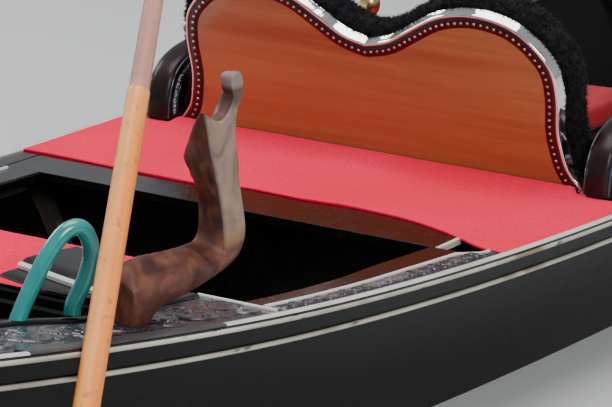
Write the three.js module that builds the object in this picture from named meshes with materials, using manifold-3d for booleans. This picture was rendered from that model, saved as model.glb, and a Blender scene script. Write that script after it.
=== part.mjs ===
// A Venetian rowing gondola, afloat. The flat-bottomed hull is about eleven metres long and
// fuller to port than to starboard, decked at both ends, with the upholstered seat amidships
// and the raised stage, forked rowlock and oar aft.
// Millimetres: +X to the bow, +Y to port, +Z up. The origin is amidships on the waterline,
// on the line through stem and stern.

import * as THREE from 'three';
import { mergeVertices } from 'three/addons/utils/BufferGeometryUtils.js';
import Module from 'manifold-3d';

const wasm = await Module();
wasm.setup();

// Driving dimensions
const GAP = 0.3;
const HULL_END = 4900;
const POST_STEP = 5100;
const POST_END = 5300;
const STATION_COUNT = 41;
const BOTTOM_THICK = 25;
const SIDE_THICK = 30;
const CAP_THICK = 18;
const CAP_WIDTH = 67;
const BOARD = 18;
const BULKHEAD = 22;
const FRAME_DEPTH = 40;
const FRAME_WIDTH = 30;
const FRAME_SPACING = 490;

// Where the decks and wells begin and end along the boat
const BOW_BULKHEAD_X = 2300;
const SEAT_BULKHEAD_X = -1440;
const BOARD_BULKHEAD_X = -1900;
const BOARD_AFT_X = -2070;
const WELL_AFT_X = -2800;
const STERN_DECK_X = -3620;

// Hull lines. Half-breadths are to the outside of the planking.
const COLUMNS = ['x', 'keel', 'chinePort', 'chineStar', 'topPort', 'topStar', 'sheer'];
const LINES = [
  [-5300, 560, 12, 12, 25, 25, 1000],
  [-4900, 330, 70, 40, 190, 120, 792],
  [-4300, 170, 190, 110, 370, 250, 638],
  [-3500, 30, 320, 190, 560, 390, 502],
  [-2600, -90, 430, 260, 700, 510, 407],
  [-1500, -175, 500, 320, 790, 565, 351],
  [0, -215, 530, 330, 830, 590, 342.5],
  [1500, -175, 490, 310, 785, 560, 404],
  [2600, -85, 410, 250, 680, 480, 498],
  [3500, 40, 300, 180, 540, 370, 620],
  [4300, 200, 175, 105, 350, 235, 800],
  [4900, 400, 65, 40, 170, 110, 1000],
  [5300, 640, 12, 12, 25, 25, 1210],
];

// A smooth curve through one column of the table
function fair(column, x) {
  const last = LINES.length - 1;
  let i = 0;
  while (i < last - 1 && x > LINES[i + 1][0]) i++;
  const slope = (k) => {
    const before = LINES[Math.max(k - 1, 0)];
    const after = LINES[Math.min(k + 1, last)];
    return (after[column] - before[column]) / (after[0] - before[0]);
  };
  const span = LINES[i + 1][0] - LINES[i][0];
  const t = (x - LINES[i][0]) / span;
  const rise = LINES[i + 1][column] - LINES[i][column];
  const start = slope(i) * span;
  const end = slope(i + 1) * span;
  return LINES[i][column] + start * t + (3 * rise - 2 * start - end) * t * t
    + (start + end - 2 * rise) * t * t * t;
}

// The stations that every lengthwise piece shares, so that neighbours have matching faces
const PITCH = (2 * HULL_END) / (STATION_COUNT - 1);
const STATIONS = [
  -POST_END, -POST_STEP,
  ...Array.from({ length: STATION_COUNT }, (_, i) => -HULL_END + i * PITCH),
  POST_STEP, POST_END,
];
const FAIRED = STATIONS.map((x) => COLUMNS.map((_, c) => (c === 0 ? x : fair(c, x))));

// The hull at any x, straight between stations
function lines(x) {
  let i = 0;
  while (i < FAIRED.length - 2 && x > FAIRED[i + 1][0]) i++;
  const t = (x - FAIRED[i][0]) / (FAIRED[i + 1][0] - FAIRED[i][0]);
  const entries = COLUMNS.map((name, c) => [name, FAIRED[i][c] + t * (FAIRED[i + 1][c] - FAIRED[i][c])]);
  return Object.fromEntries(entries);
}

const PORT = 1;
const STAR = -1;

function topBreadth(x, side) {
  return side === PORT ? lines(x).topPort : lines(x).topStar;
}

// Half-breadth to the outside of the planking at a height
function breadth(x, z, side) {
  const hull = lines(x);
  const chine = side === PORT ? hull.chinePort : hull.chineStar;
  const top = side === PORT ? hull.topPort : hull.topStar;
  return chine + (top - chine) * (z - hull.keel) / (hull.sheer - hull.keel);
}

function stationsBetween(from, to, extra = []) {
  const between = [...STATIONS, ...extra].filter((x) => x > from + 1 && x < to - 1);
  return [from, ...between.sort((a, b) => a - b), to];
}

// A width read from a table of x and width, straight between its rows
function widthAt(table, x) {
  let i = 0;
  while (i < table.length - 2 && x > table[i + 1][0]) i++;
  const t = (x - table[i][0]) / (table[i + 1][0] - table[i][0]);
  return table[i][1] + t * (table[i + 1][1] - table[i][1]);
}

// Making solids: a loft through sections across the boat, and flat plates in three planes
function toSolid(points, faces) {
  return new wasm.Manifold(new wasm.Mesh({
    numProp: 3,
    vertProperties: new Float32Array(points.flat()),
    triVerts: new Uint32Array(faces.flat()),
  }));
}

// A twisted face is split along the diagonal that climbs towards the bow, on both of its sides
function climbs(p, q) {
  return Math.abs(p[2] - q[2]) > 0.5 ? p[2] < q[2] : p[1] < q[1];
}

function loft(stations, section) {
  const flat = section(stations[0]).map(([y, z]) => new THREE.Vector2(y, z));
  const turned = THREE.ShapeUtils.area(flat) < 0;
  const rings = stations.map((x) => {
    const ring = section(x).map(([y, z]) => [x, y, z]);
    return turned ? ring.reverse() : ring;
  });
  const count = rings[0].length;
  const points = rings.flat();
  const faces = [];
  for (let i = 0; i + 1 < rings.length; i++) {
    for (let j = 0; j < count; j++) {
      const a = i * count + j;
      const b = i * count + (j + 1) % count;
      const c = b + count;
      const d = a + count;
      if (climbs(points[a], points[b])) faces.push([a, b, c], [a, c, d]);
      else faces.push([a, b, d], [b, c, d]);
    }
  }
  const lid = (ring) => THREE.ShapeUtils.triangulateShape(
    ring.map((p) => new THREE.Vector2(p[1], p[2])), [],
  );
  const last = (rings.length - 1) * count;
  for (const [a, b, c] of lid(rings[0])) faces.push([c, b, a]);
  for (const [a, b, c] of lid(rings[rings.length - 1])) faces.push([a + last, b + last, c + last]);
  return toSolid(points, faces);
}

function fromGeometry(geometry) {
  const bare = geometry.clone();
  bare.deleteAttribute('normal');
  bare.deleteAttribute('uv');
  const merged = mergeVertices(bare, 1e-3);
  return new wasm.Manifold(new wasm.Mesh({
    numProp: 3,
    vertProperties: merged.attributes.position.array,
    triVerts: new Uint32Array(merged.index.array),
  }));
}

function shapeOf(points) {
  return new THREE.Shape(points.map(([u, v]) => new THREE.Vector2(u, v)));
}

// An outline in plan, between two heights
function planPlate(points, bottom, top) {
  const geometry = new THREE.ExtrudeGeometry(shapeOf(points), { depth: top - bottom, bevelEnabled: false });
  return geometry.translate(0, 0, bottom);
}

// An outline seen from the side, as x and z, between two values of y
function sidePlate(points, y0, y1) {
  const geometry = new THREE.ExtrudeGeometry(shapeOf(points), { depth: y1 - y0, bevelEnabled: false });
  return geometry.rotateX(Math.PI / 2).translate(0, y1, 0);
}

// An outline seen from the end, as y and z, between two values of x
function endPlate(points, x0, x1) {
  const geometry = new THREE.ExtrudeGeometry(shapeOf(points), { depth: x1 - x0, bevelEnabled: false });
  const turn = new THREE.Matrix4().makeBasis(
    new THREE.Vector3(0, 1, 0), new THREE.Vector3(0, 0, 1), new THREE.Vector3(1, 0, 0),
  );
  return geometry.applyMatrix4(turn).translate(x0, 0, 0);
}

function block(x0, x1, y0, y1, z0, z1) {
  const geometry = new THREE.BoxGeometry(x1 - x0, y1 - y0, z1 - z0);
  return geometry.translate((x0 + x1) / 2, (y0 + y1) / 2, (z0 + z1) / 2);
}

function smooth(points, pieces) {
  const curve = new THREE.SplineCurve(points.map(([u, v]) => new THREE.Vector2(u, v)));
  return curve.getPoints(pieces).map((p) => [p.x, p.y]);
}

// Pieces go into the boat under their names
const boat = new THREE.Group();
boat.name = 'gondola';

function finish(color, roughness, metalness = 0) {
  return () => new THREE.MeshStandardMaterial({ color, roughness, metalness });
}

const BLACK_LACQUER = finish(0x0c0c0d, 0.18);
const BARE_PLANK = finish(0x2a2320, 0.7);
const PALE_STRIP = finish(0xd8d0ba, 0.45);
const BRIGHT_METAL = finish(0xc9c9cc, 0.15, 1);
const BRASS = finish(0xc39a4a, 0.25, 1);
const CARVED_WOOD = finish(0x17151a, 0.35);
const RED_CARPET = finish(0xc8202c, 0.95);
const RED_CLOTH = finish(0xa81622, 0.8);
const ORANGE_WOOD = finish(0xa5501c, 0.25);
const BLACK_FUR = finish(0x0b0b0c, 1);
const WALNUT = finish(0x6b3a22, 0.5);
const OAR_WOOD = finish(0xd48a3f, 0.4);
const GREEN_TUBE = finish(0x0f8a6c, 0.35);

function add(name, shape, look, parent = boat) {
  let geometry = shape;
  if (!shape.isBufferGeometry) {
    const mesh = shape.getMesh();
    const step = mesh.numProp;
    const positions = [];
    for (let i = 0; i < mesh.vertProperties.length; i += step) {
      positions.push(...mesh.vertProperties.slice(i, i + 3));
    }
    geometry = new THREE.BufferGeometry();
    geometry.setAttribute('position', new THREE.Float32BufferAttribute(positions, 3));
    geometry.setIndex([...mesh.triVerts]);
    geometry.computeVertexNormals();
  }
  const mesh = new THREE.Mesh(geometry, look());
  mesh.name = name;
  parent.add(mesh);
  return mesh;
}

const SIDES = [
  { side: PORT, label: 'port' },
  { side: STAR, label: 'starboard' },
];

// Heights that follow the rocker of the bottom and the sheer of the top
const sheer = (x) => lines(x).sheer;
const insideBottom = (x) => lines(x).keel + BOTTOM_THICK;
const floorUnder = (x) => insideBottom(x) + FRAME_DEPTH + 2 * GAP;
const floorTop = (x) => floorUnder(x) + BOARD;
const capUnder = (x) => sheer(x) - CAP_THICK;

// The space inside the planking, taken in by an amount, between two heights given as functions of x
function inside(from, to, takeIn, low, high) {
  return loft(stationsBetween(from, to), (x) => {
    const edge = (z, side) => side * (breadth(x, z, side) - SIDE_THICK - takeIn);
    return [
      [edge(low(x), STAR), low(x)], [edge(low(x), PORT), low(x)],
      [edge(high(x), PORT), high(x)], [edge(high(x), STAR), high(x)],
    ];
  });
}

// Bottom planking in three runs, flat across and rockered along
const BOTTOM_RUNS = [
  { name: 'aft', from: -HULL_END, to: -6 * PITCH - GAP / 2 },
  { name: 'middle', from: -6 * PITCH + GAP / 2, to: 5 * PITCH - GAP / 2 },
  { name: 'fore', from: 5 * PITCH + GAP / 2, to: HULL_END },
];
for (const { name, from, to } of BOTTOM_RUNS) {
  add(`bottom_planking_${name}`, loft(stationsBetween(from, to), (x) => {
    const low = lines(x).keel;
    const high = low + BOTTOM_THICK;
    return [
      [-breadth(x, low, STAR), low], [breadth(x, low, PORT), low],
      [breadth(x, high, PORT), high], [-breadth(x, high, STAR), high],
    ];
  }), BLACK_LACQUER);
}

// Half-round strips run along the outside, at these depths below the sheer
const STRIP_HALF = 6.5;
const STRIP_PROUD = 8;
const UPPER_STRIP = 10.5;
const LOWER_STRIP = 62;

// Flared side planking, from the bottom to the underside of the gunwale cap, with a flat for the lower strip
const sideLow = (x) => insideBottom(x) + GAP;
const sideHigh = (x) => capUnder(x) - GAP;
for (const { side, label } of SIDES) {
  add(`side_${label}`, loft(stationsBetween(-HULL_END, HULL_END), (x) => {
    const outerAt = (z) => [side * breadth(x, z, side), z];
    const innerAt = (z) => [side * (breadth(x, z, side) - SIDE_THICK), z];
    const strip = sheer(x) - LOWER_STRIP;
    return [
      innerAt(sideLow(x)), outerAt(sideLow(x)), outerAt(strip - STRIP_HALF), outerAt(strip + STRIP_HALF),
      outerAt(sideHigh(x)), innerAt(sideHigh(x)),
    ];
  }), BLACK_LACQUER);
}
const cavity = inside(-HULL_END, HULL_END, GAP, sideLow, sideHigh);

// Solid stem and stern posts close the ends
const POSTS = [
  { name: 'stern_post', from: -POST_END, to: -HULL_END - GAP },
  { name: 'stem_post', from: HULL_END + GAP, to: POST_END },
];
const POST_CROWN = 12;
for (const { name, from, to } of POSTS) {
  add(name, loft(stationsBetween(from, to), (x) => {
    const hull = lines(x);
    return [
      [-hull.chineStar, hull.keel], [hull.chinePort, hull.keel], [hull.topPort, hull.sheer],
      [(hull.topPort - hull.topStar) / 2, hull.sheer + POST_CROWN], [-hull.topStar, hull.sheer],
    ];
  }), BLACK_LACQUER);
}

// Gunwale caps lie on the sides, and beside the after well each widens inboard into a ledge
const LEDGE_TAIL = -2789.7;
const LEDGE_NOSE = -2070.3;
const LEDGE_LAP = 5;
const LEDGE_WIDE = [[LEDGE_TAIL, 122], [-2620, 122], [-2450, 130], [-2300, 148], [LEDGE_NOSE, 158]];
for (const { side, label } of SIDES) {
  const cap = loft(stationsBetween(-HULL_END, HULL_END), (x) => {
    const outer = topBreadth(x, side);
    const inner = outer - CAP_WIDTH;
    const low = capUnder(x);
    return [
      [side * inner, low], [side * breadth(x, low, side), low],
      [side * outer, sheer(x)], [side * inner, sheer(x)],
    ];
  });
  const ledgePlaces = stationsBetween(LEDGE_TAIL, LEDGE_NOSE, LEDGE_WIDE.map(([x]) => x));
  const ledge = loft(ledgePlaces, (x) => {
    const outer = side * (topBreadth(x, side) - CAP_WIDTH + LEDGE_LAP);
    const inner = side * (topBreadth(x, side) - widthAt(LEDGE_WIDE, x));
    return [[inner, capUnder(x)], [outer, capUnder(x)], [outer, sheer(x)], [inner, sheer(x)]];
  });
  add(`gunwale_cap_${label}`, cap.add(ledge), CARVED_WOOD);
}

// The half-round strips, and the metal strip on the outer edge of the cap
const STRIPS = [
  { name: 'upper_strip', below: UPPER_STRIP },
  { name: 'lower_strip', below: LOWER_STRIP },
];
for (const { side, label } of SIDES) {
  for (const { name, below } of STRIPS) {
    add(`${name}_${label}`, loft(stationsBetween(-HULL_END, HULL_END), (x) => {
      const middle = sheer(x) - below;
      const at = (up, out) => [side * (breadth(x, middle + up, side) + GAP + out), middle + up];
      return [
        at(-STRIP_HALF, 0), at(-STRIP_HALF * 0.7, STRIP_PROUD * 0.75), at(0, STRIP_PROUD),
        at(STRIP_HALF * 0.7, STRIP_PROUD * 0.75), at(STRIP_HALF, 0),
      ];
    }), PALE_STRIP);
  }
}
const EDGE_STRIP_WIDTH = 15;
const EDGE_STRIP_HEIGHT = 5;
for (const { side, label } of SIDES) {
  add(`edge_strip_${label}`, loft(stationsBetween(-HULL_END, HULL_END), (x) => {
    const outer = topBreadth(x, side);
    const base = sheer(x) + GAP;
    return [
      [side * (outer - EDGE_STRIP_WIDTH), base], [side * outer, base],
      [side * (outer - 3), base + EDGE_STRIP_HEIGHT],
      [side * (outer - EDGE_STRIP_WIDTH + 3), base + EDGE_STRIP_HEIGHT],
    ];
  }), BRIGHT_METAL);
}

// Side timbers: legs up the inside of the planking, tied under the cap by a clamp along the side
const TIMBER_FIRST = -2450;
const TIMBER_COUNT = 10;
const CLAMP_DEEP = 45;
const CLAMP_WIDE = 22;
const timberFrom = TIMBER_FIRST - FRAME_WIDTH / 2;
const timberTo = TIMBER_FIRST + (TIMBER_COUNT - 1) * FRAME_SPACING + FRAME_WIDTH / 2;
const aboveCaps = (x) => capUnder(x) + FRAME_DEPTH;
const belowSides = (x) => insideBottom(x) - FRAME_DEPTH / 2;
const openTo = 7 * PITCH - HULL_END;
const legHollow = inside(openTo, -openTo, FRAME_DEPTH, belowSides, aboveCaps);
const betweenLegs = inside(openTo, -openTo, FRAME_DEPTH + GAP, sideLow, aboveCaps);
function timberSlice(i) {
  const middle = TIMBER_FIRST + i * FRAME_SPACING;
  return fromGeometry(block(middle - FRAME_WIDTH / 2, middle + FRAME_WIDTH / 2, -1000, 1000, -400, 800));
}
function clamps(clearance) {
  const band = loft(stationsBetween(timberFrom - clearance, timberTo + clearance), (x) => {
    const low = sideHigh(x) - CLAMP_DEEP - clearance;
    const high = sideHigh(x) + clearance;
    return [[-1000, low], [1000, low], [1000, high], [-1000, high]];
  });
  return band.subtract(inside(openTo, -openTo, CLAMP_WIDE + clearance, belowSides, aboveCaps));
}
for (const { side, label } of SIDES) {
  const half = fromGeometry(block(timberFrom - 50, timberTo + 50, Math.min(0, side * 1000),
    Math.max(0, side * 1000), -400, 800));
  let timbers = clamps(0);
  for (let i = 0; i < TIMBER_COUNT; i++) timbers = timbers.add(timberSlice(i).subtract(legHollow));
  add(`side_timbers_${label}`, timbers.intersect(cavity).intersect(half), BARE_PLANK);
}
const clampSpace = clamps(GAP);

// Floorboards between the side timbers, on bearers that stand on the bottom planking
const floorFrom = WELL_AFT_X + BULKHEAD + GAP;
const bearerSpace = inside(floorFrom, BOW_BULKHEAD_X - GAP, 0, sideLow, (x) => floorUnder(x) + BOARD / 2);
let floor = inside(floorFrom, BOW_BULKHEAD_X - GAP, 0, floorUnder, floorTop);
for (let i = 0; i < TIMBER_COUNT; i++) floor = floor.add(bearerSpace.intersect(timberSlice(i)));
add('floorboards', floor.intersect(betweenLegs), BARE_PLANK);

// Cambered end decks between the caps, with a bulkhead under the inboard edge of each
const CAMBER = 0.13;
const DECK_ARC = 6;
function deckArc(x, base, takeIn) {
  const port = topBreadth(x, PORT) - CAP_WIDTH - takeIn;
  const star = topBreadth(x, STAR) - CAP_WIDTH - takeIn;
  const middle = (port - star) / 2;
  const half = (port + star) / 2;
  return Array.from({ length: DECK_ARC + 1 }, (_, i) => {
    const u = 1 - (2 * i) / DECK_ARC;
    return [middle + half * u, base + CAMBER * half * (1 - u * u)];
  });
}
const DECKS = [
  { name: 'bow_deck', from: BOW_BULKHEAD_X, to: HULL_END },
  { name: 'stern_deck', from: -HULL_END, to: STERN_DECK_X },
];
for (const { name, from, to } of DECKS) {
  add(name, loft(stationsBetween(from, to), (x) => [
    ...deckArc(x, sheer(x), GAP),
    ...deckArc(x, capUnder(x), GAP).reverse(),
  ]), BLACK_LACQUER);
}
function bulkhead(from, low, high) {
  const board = inside(from, from + BULKHEAD, -SIDE_THICK, (x) => low(x) + GAP, (x) => high(x) - GAP);
  return board.intersect(cavity);
}
function bulkheadUnderDeck(from) {
  const crown = loft([from, from + BULKHEAD], (x) => {
    const arc = deckArc(x, sideHigh(x), GAP);
    const low = sideHigh(x) - BOARD;
    return [...arc, [arc[DECK_ARC][0], low], [arc[0][0], low]];
  });
  return bulkhead(from, insideBottom, capUnder).add(crown);
}
add('bow_bulkhead', bulkheadUnderDeck(BOW_BULKHEAD_X), BLACK_LACQUER);
add('stern_bulkhead', bulkheadUnderDeck(STERN_DECK_X - BULKHEAD), BLACK_LACQUER);

// Raised stage ahead of the stern deck, between carved side decks whose legs stand on its edges
const STAGE_TOP = 372;
const STAGE_FROM = STERN_DECK_X + GAP;
const SIDE_DECK_TO = WELL_AFT_X + 10;
const DECK_EDGES = [
  { side: PORT, label: 'port', edge: [[STAGE_FROM, 400], [SIDE_DECK_TO, 400]] },
  {
    side: STAR,
    label: 'starboard',
    edge: [
      [STAGE_FROM, 131], [-3430, 160], [-3290, 184], [-3190, 236], [-3110, 248], [SIDE_DECK_TO, 256],
    ],
  },
];
const deckPlaces = stationsBetween(STAGE_FROM, SIDE_DECK_TO, DECK_EDGES[1].edge.slice(2, -1).map(([x]) => x));
add('stage', loft(deckPlaces, (x) => {
  const [port, star] = DECK_EDGES.map(({ side, edge }) => side * (widthAt(edge, x) + BOARD));
  return [
    [star, STAGE_TOP - BULKHEAD], [port, STAGE_TOP - BULKHEAD], [port, STAGE_TOP], [star, STAGE_TOP],
  ];
}), BLACK_LACQUER);
add('well_bulkhead', bulkhead(WELL_AFT_X, insideBottom, () => STAGE_TOP - BULKHEAD), BLACK_LACQUER);
for (const { side, label, edge } of DECK_EDGES) {
  add(`side_deck_${label}`, loft(deckPlaces, (x) => {
    const outer = side * (topBreadth(x, side) - CAP_WIDTH - GAP);
    const inner = side * widthAt(edge, x);
    const leg = side * (widthAt(edge, x) + BOARD);
    return [
      [outer, capUnder(x)], [outer, sheer(x)], [inner, sheer(x)],
      [inner, STAGE_TOP + GAP], [leg, STAGE_TOP + GAP], [leg, capUnder(x)],
    ];
  }), CARVED_WOOD);
}

// Raised step on the stage: a thick board on two risers, its carpet and the black footrest with its bar
const STEP_X = [-3100, -2795];
const STEP_Y = [-243, 385];
const STEP_TOP = 467;
const STEP_BOARD = 42;
const RISER = 22;
const RISER_SETBACK = 35;
const stepLow = STAGE_TOP + GAP;
const stepUnder = STEP_TOP - STEP_BOARD;
const riserAft = STEP_X[0] + RISER_SETBACK;
const riserFore = STEP_X[1] - RISER_SETBACK;
add('step_board', sidePlate([
  [STEP_X[0], stepUnder], [riserAft, stepUnder], [riserAft, stepLow], [riserAft + RISER, stepLow],
  [riserAft + RISER, stepUnder], [riserFore - RISER, stepUnder], [riserFore - RISER, stepLow],
  [riserFore, stepLow], [riserFore, stepUnder], [STEP_X[1], stepUnder], [STEP_X[1], STEP_TOP],
  [STEP_X[0], STEP_TOP],
], STEP_Y[0], STEP_Y[1]), BLACK_LACQUER);
const CARPET_THICK = 7;
const stepCarpetTop = STEP_TOP + GAP + CARPET_THICK;
add('step_carpet', block(
  STEP_X[0] - 3, STEP_X[1] + 3, STEP_Y[0], STEP_Y[1], STEP_TOP + GAP, stepCarpetTop,
), RED_CARPET);
const footrest = new THREE.Group();
const FOOTREST_AT = [-2984, -147];
const FOOTREST_TURN = THREE.MathUtils.degToRad(16);
footrest.position.set(...FOOTREST_AT, stepCarpetTop + GAP);
footrest.rotation.z = -FOOTREST_TURN;
boat.add(footrest);
const FOOTREST_WIDE = 118;
const wedge = fromGeometry(sidePlate([
  [-117, 0], [80, 0], [80, 26], [-30, 26], [-60, 20], [-60, 7], [-73, 7], [-95, 6], [-112, 3],
], -FOOTREST_WIDE, FOOTREST_WIDE));
const stepEdge = STEP_X[0] + 2 - FOOTREST_AT[0];
add('footrest', wedge.trimByPlane(
  [Math.cos(FOOTREST_TURN), Math.sin(FOOTREST_TURN), 0], stepEdge,
), BLACK_LACQUER, footrest);
add('footrest_bar', sidePlate(
  [[-73, 7 + GAP], [-60 - GAP, 7 + GAP], [-60 - GAP, 19.5], [-73, 16]], -FOOTREST_WIDE, FOOTREST_WIDE,
), BRIGHT_METAL, footrest);

// Cover board behind the seat: full width, with its after starboard corner cut back and capped in brass
const NOTCH_X = -1960;
const NOTCH_Y = -395;
const boardPlate = loft(stationsBetween(BOARD_AFT_X, SEAT_BULKHEAD_X), (x) => {
  const port = topBreadth(x, PORT) - CAP_WIDTH - GAP;
  const star = topBreadth(x, STAR) - CAP_WIDTH - GAP;
  return [[-star, capUnder(x)], [port, capUnder(x)], [port, sheer(x)], [-star, sheer(x)]];
});
const notch = fromGeometry(block(BOARD_AFT_X - 50, NOTCH_X, -700, NOTCH_Y, 250, 450));
add('cover_board', boardPlate.subtract(notch), BLACK_LACQUER);
const END_CAP = 10;
add('board_end_cap', loft([BOARD_AFT_X, NOTCH_X - GAP], (x) => [
  [NOTCH_Y - END_CAP, capUnder(x)], [NOTCH_Y - GAP, capUnder(x)],
  [NOTCH_Y - GAP, sheer(x)], [NOTCH_Y - END_CAP, sheer(x)],
]), BRASS);
add('board_bulkhead', bulkhead(BOARD_BULKHEAD_X, floorTop, capUnder).subtract(clampSpace), BLACK_LACQUER);
add('seat_bulkhead', bulkhead(SEAT_BULKHEAD_X + GAP, floorTop, sheer).subtract(clampSpace), BLACK_LACQUER);

// Red carpet over the cover board and the caps, its after edge wavy where it was cut
const CARPET_EDGE = [
  [-1916, 795], [-1915, 616], [-1927, 295], [-1888, 177], [-1893, 34], [-1882, -73],
  [-1893, -204], [-1923, -306], [-1973, -406], [-2014, -476], [-2030, -560],
];
const CARPET_FORE_X = -1448;
const carpetOutline = [...smooth(CARPET_EDGE, 30), [CARPET_FORE_X, -620], [CARPET_FORE_X, 860]];
const carpetBody = loft(stationsBetween(-2060, CARPET_FORE_X), (x) => {
  const port = topBreadth(x, PORT) - EDGE_STRIP_WIDTH - GAP;
  const star = topBreadth(x, STAR) - EDGE_STRIP_WIDTH - GAP;
  const low = sheer(x) + GAP;
  return [[-star, low], [port, low], [port, low + CARPET_THICK - 1], [-star, low + CARPET_THICK - 1]];
});
add('seat_carpet', carpetBody.intersect(fromGeometry(planPlate(carpetOutline, 200, 500))), RED_CARPET);

// Seat back, leaning aft: two rounded lobes with a dip between, given as half-width and height
const SEAT_MIDDLE_Y = 114.5;
const BACK_X = -1429;
const BACK_Z = 363;
const BACK_LEAN = THREE.MathUtils.degToRad(14);
const BACK_HALF = [
  [521, 0], [492, 40], [478, 95], [474, 140], [478, 215], [467, 280], [425, 332],
  [372, 366], [308, 380], [246, 377], [184, 359], [122, 322], [60, 284], [0, 268],
];
const halfOutline = smooth(BACK_HALF, 30);
const mirrored = halfOutline.slice(0, -1).reverse().map(([w, h]) => [-w, h]);
const backOutline = [...halfOutline, ...mirrored];
function offsetOutline(distance, widest = Infinity) {
  return backOutline.map(([w, h], i) => {
    const before = backOutline[Math.max(i - 1, 0)];
    const after = backOutline[Math.min(i + 1, backOutline.length - 1)];
    const run = Math.hypot(after[0] - before[0], after[1] - before[1]);
    const out = [(after[1] - before[1]) / run, -(after[0] - before[0]) / run];
    const end = i === 0 || i === backOutline.length - 1;
    const wide = w + distance * out[0];
    return [Math.max(-widest, Math.min(widest, wide)), end ? 0 : Math.max(h + distance * out[1], 1)];
  });
}
function backRing(inner, outer, x0, x1, widest) {
  return endPlate([...offsetOutline(outer, widest), ...offsetOutline(inner, widest).reverse()], x0, x1);
}
const seatBack = new THREE.Group();
seatBack.position.set(BACK_X, SEAT_MIDDLE_Y, BACK_Z);
seatBack.rotation.y = -BACK_LEAN;
boat.add(seatBack);
const BACK_PANEL = 22;
const MOULDING_WIDE = 14;
const MOULDING_TO = 22;
const PADDING_TO = 80;
const FUR_WIDE = 32;
const FUR_TO = 108;
const FUR_WIDEST = 528;
add('back_panel', endPlate(offsetOutline(0), 0, BACK_PANEL), ORANGE_WOOD, seatBack);
add('back_moulding', backRing(GAP, MOULDING_WIDE, -3, MOULDING_TO), BRIGHT_METAL, seatBack);
add('back_padding', endPlate(offsetOutline(-3), BACK_PANEL + GAP, PADDING_TO), RED_CLOTH, seatBack);
add('back_fur', backRing(GAP - 3, FUR_WIDE, MOULDING_TO + GAP, FUR_TO, FUR_WIDEST), BLACK_FUR, seatBack);
const backFoot = (x) => BACK_Z + (x - BACK_X) * Math.tan(BACK_LEAN) - 0.4;
const SILL_X = [-1444, -1396];
const SILL_HALF = 515;
add('back_sill', sidePlate([
  [SILL_X[0], sheer(SILL_X[0]) + GAP + 0.3], [SILL_X[1], sheer(SILL_X[0]) + GAP + 0.3],
  [SILL_X[1], backFoot(SILL_X[1])], [SILL_X[0], backFoot(SILL_X[0])],
], SEAT_MIDDLE_Y - SILL_HALF, SEAT_MIDDLE_Y + SILL_HALF), BLACK_LACQUER);

// Arched arm boards beside the seat, on the cover board's carpet aft and a side shelf forward
const ARM_THICK = 60;
const ARM_AFT_X = -1464;
const ARM_FORE_X = -880;
const ARM_ARCH = [
  [-1464, 372], [-1459, 410], [-1443, 455], [-1414, 486], [-1370, 507], [-1320, 519], [-1260, 524],
  [-1180, 520], [-1080, 500], [-990, 465], [-920, 422], [-880, 385],
];
const SHELF_FORE_X = -860;
const ARMS = [
  { side: PORT, label: 'port', y0: 660, y1: 660 + ARM_THICK, shelfY: 652 },
  { side: STAR, label: 'starboard', y0: -491, y1: -491 + ARM_THICK, shelfY: 425 },
];
for (const { side, label, y0, y1, shelfY } of ARMS) {
  add(`side_shelf_${label}`, loft(stationsBetween(SEAT_BULKHEAD_X + BULKHEAD + 2 * GAP, SHELF_FORE_X), (x) => {
    const outer = side * (topBreadth(x, side) - CAP_WIDTH - GAP);
    const inner = side * shelfY;
    return [[inner, capUnder(x)], [outer, capUnder(x)], [outer, sheer(x)], [inner, sheer(x)]];
  }), BLACK_LACQUER);
  const onShelf = stationsBetween(SEAT_BULKHEAD_X, ARM_FORE_X).map((x) => [x, sheer(x) + GAP]).reverse();
  const onCarpet = sheer(ARM_AFT_X) + CARPET_THICK + GAP;
  add(`arm_board_${label}`, sidePlate([
    ...smooth(ARM_ARCH, 26), ...onShelf, [SEAT_BULKHEAD_X, onCarpet], [ARM_AFT_X, onCarpet],
  ], y0, y1), BLACK_LACQUER);
}

// The seat: its box, its cushion and the padded board below the back
const SEAT_X = [-1400, -870];
const SEAT_Y = [-390, 600];
const SEAT_BOX_TOP = 140;
const seatBox = fromGeometry(block(SEAT_X[0], SEAT_X[1], SEAT_Y[0], SEAT_Y[1], -300, SEAT_BOX_TOP));
const wellSpace = inside(SEAT_BULKHEAD_X, BOW_BULKHEAD_X, 0, (x) => floorTop(x) + GAP, () => 330)
  .intersect(betweenLegs);
add('seat_box', seatBox.intersect(wellSpace), BLACK_LACQUER);
add('seat_cushion', block(
  SEAT_X[0] + 35, SEAT_X[1] + 10, SEAT_Y[0] + 8, SEAT_Y[1] - 8, SEAT_BOX_TOP + GAP, SEAT_BOX_TOP + 95,
), RED_CLOTH);
add('lower_back_pad', block(
  SEAT_BULKHEAD_X + BULKHEAD + 2 * GAP, SEAT_X[0] + 35 - GAP, SEAT_Y[0] + 8, SEAT_Y[1] - 8,
  SEAT_BOX_TOP + GAP, 344,
), RED_CLOTH);

// Side benches ahead of the seat, each a box with a cushion
const BENCH_X = [-150, 350];
const BENCH_TOP = 70;
const BENCHES = [
  { label: 'port', y0: 300, y1: 600 },
  { label: 'starboard', y0: -400, y1: -110 },
];
for (const { label, y0, y1 } of BENCHES) {
  const box = fromGeometry(block(BENCH_X[0], BENCH_X[1], y0, y1, -300, BENCH_TOP));
  add(`bench_${label}`, box.intersect(wellSpace), BLACK_LACQUER);
  const pad = fromGeometry(block(
    BENCH_X[0] + 5, BENCH_X[1] - 5, y0 + 5, y1 - 5, BENCH_TOP + GAP, BENCH_TOP + 75,
  ));
  add(`bench_cushion_${label}`, pad.intersect(wellSpace), RED_CLOTH);
}

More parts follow.
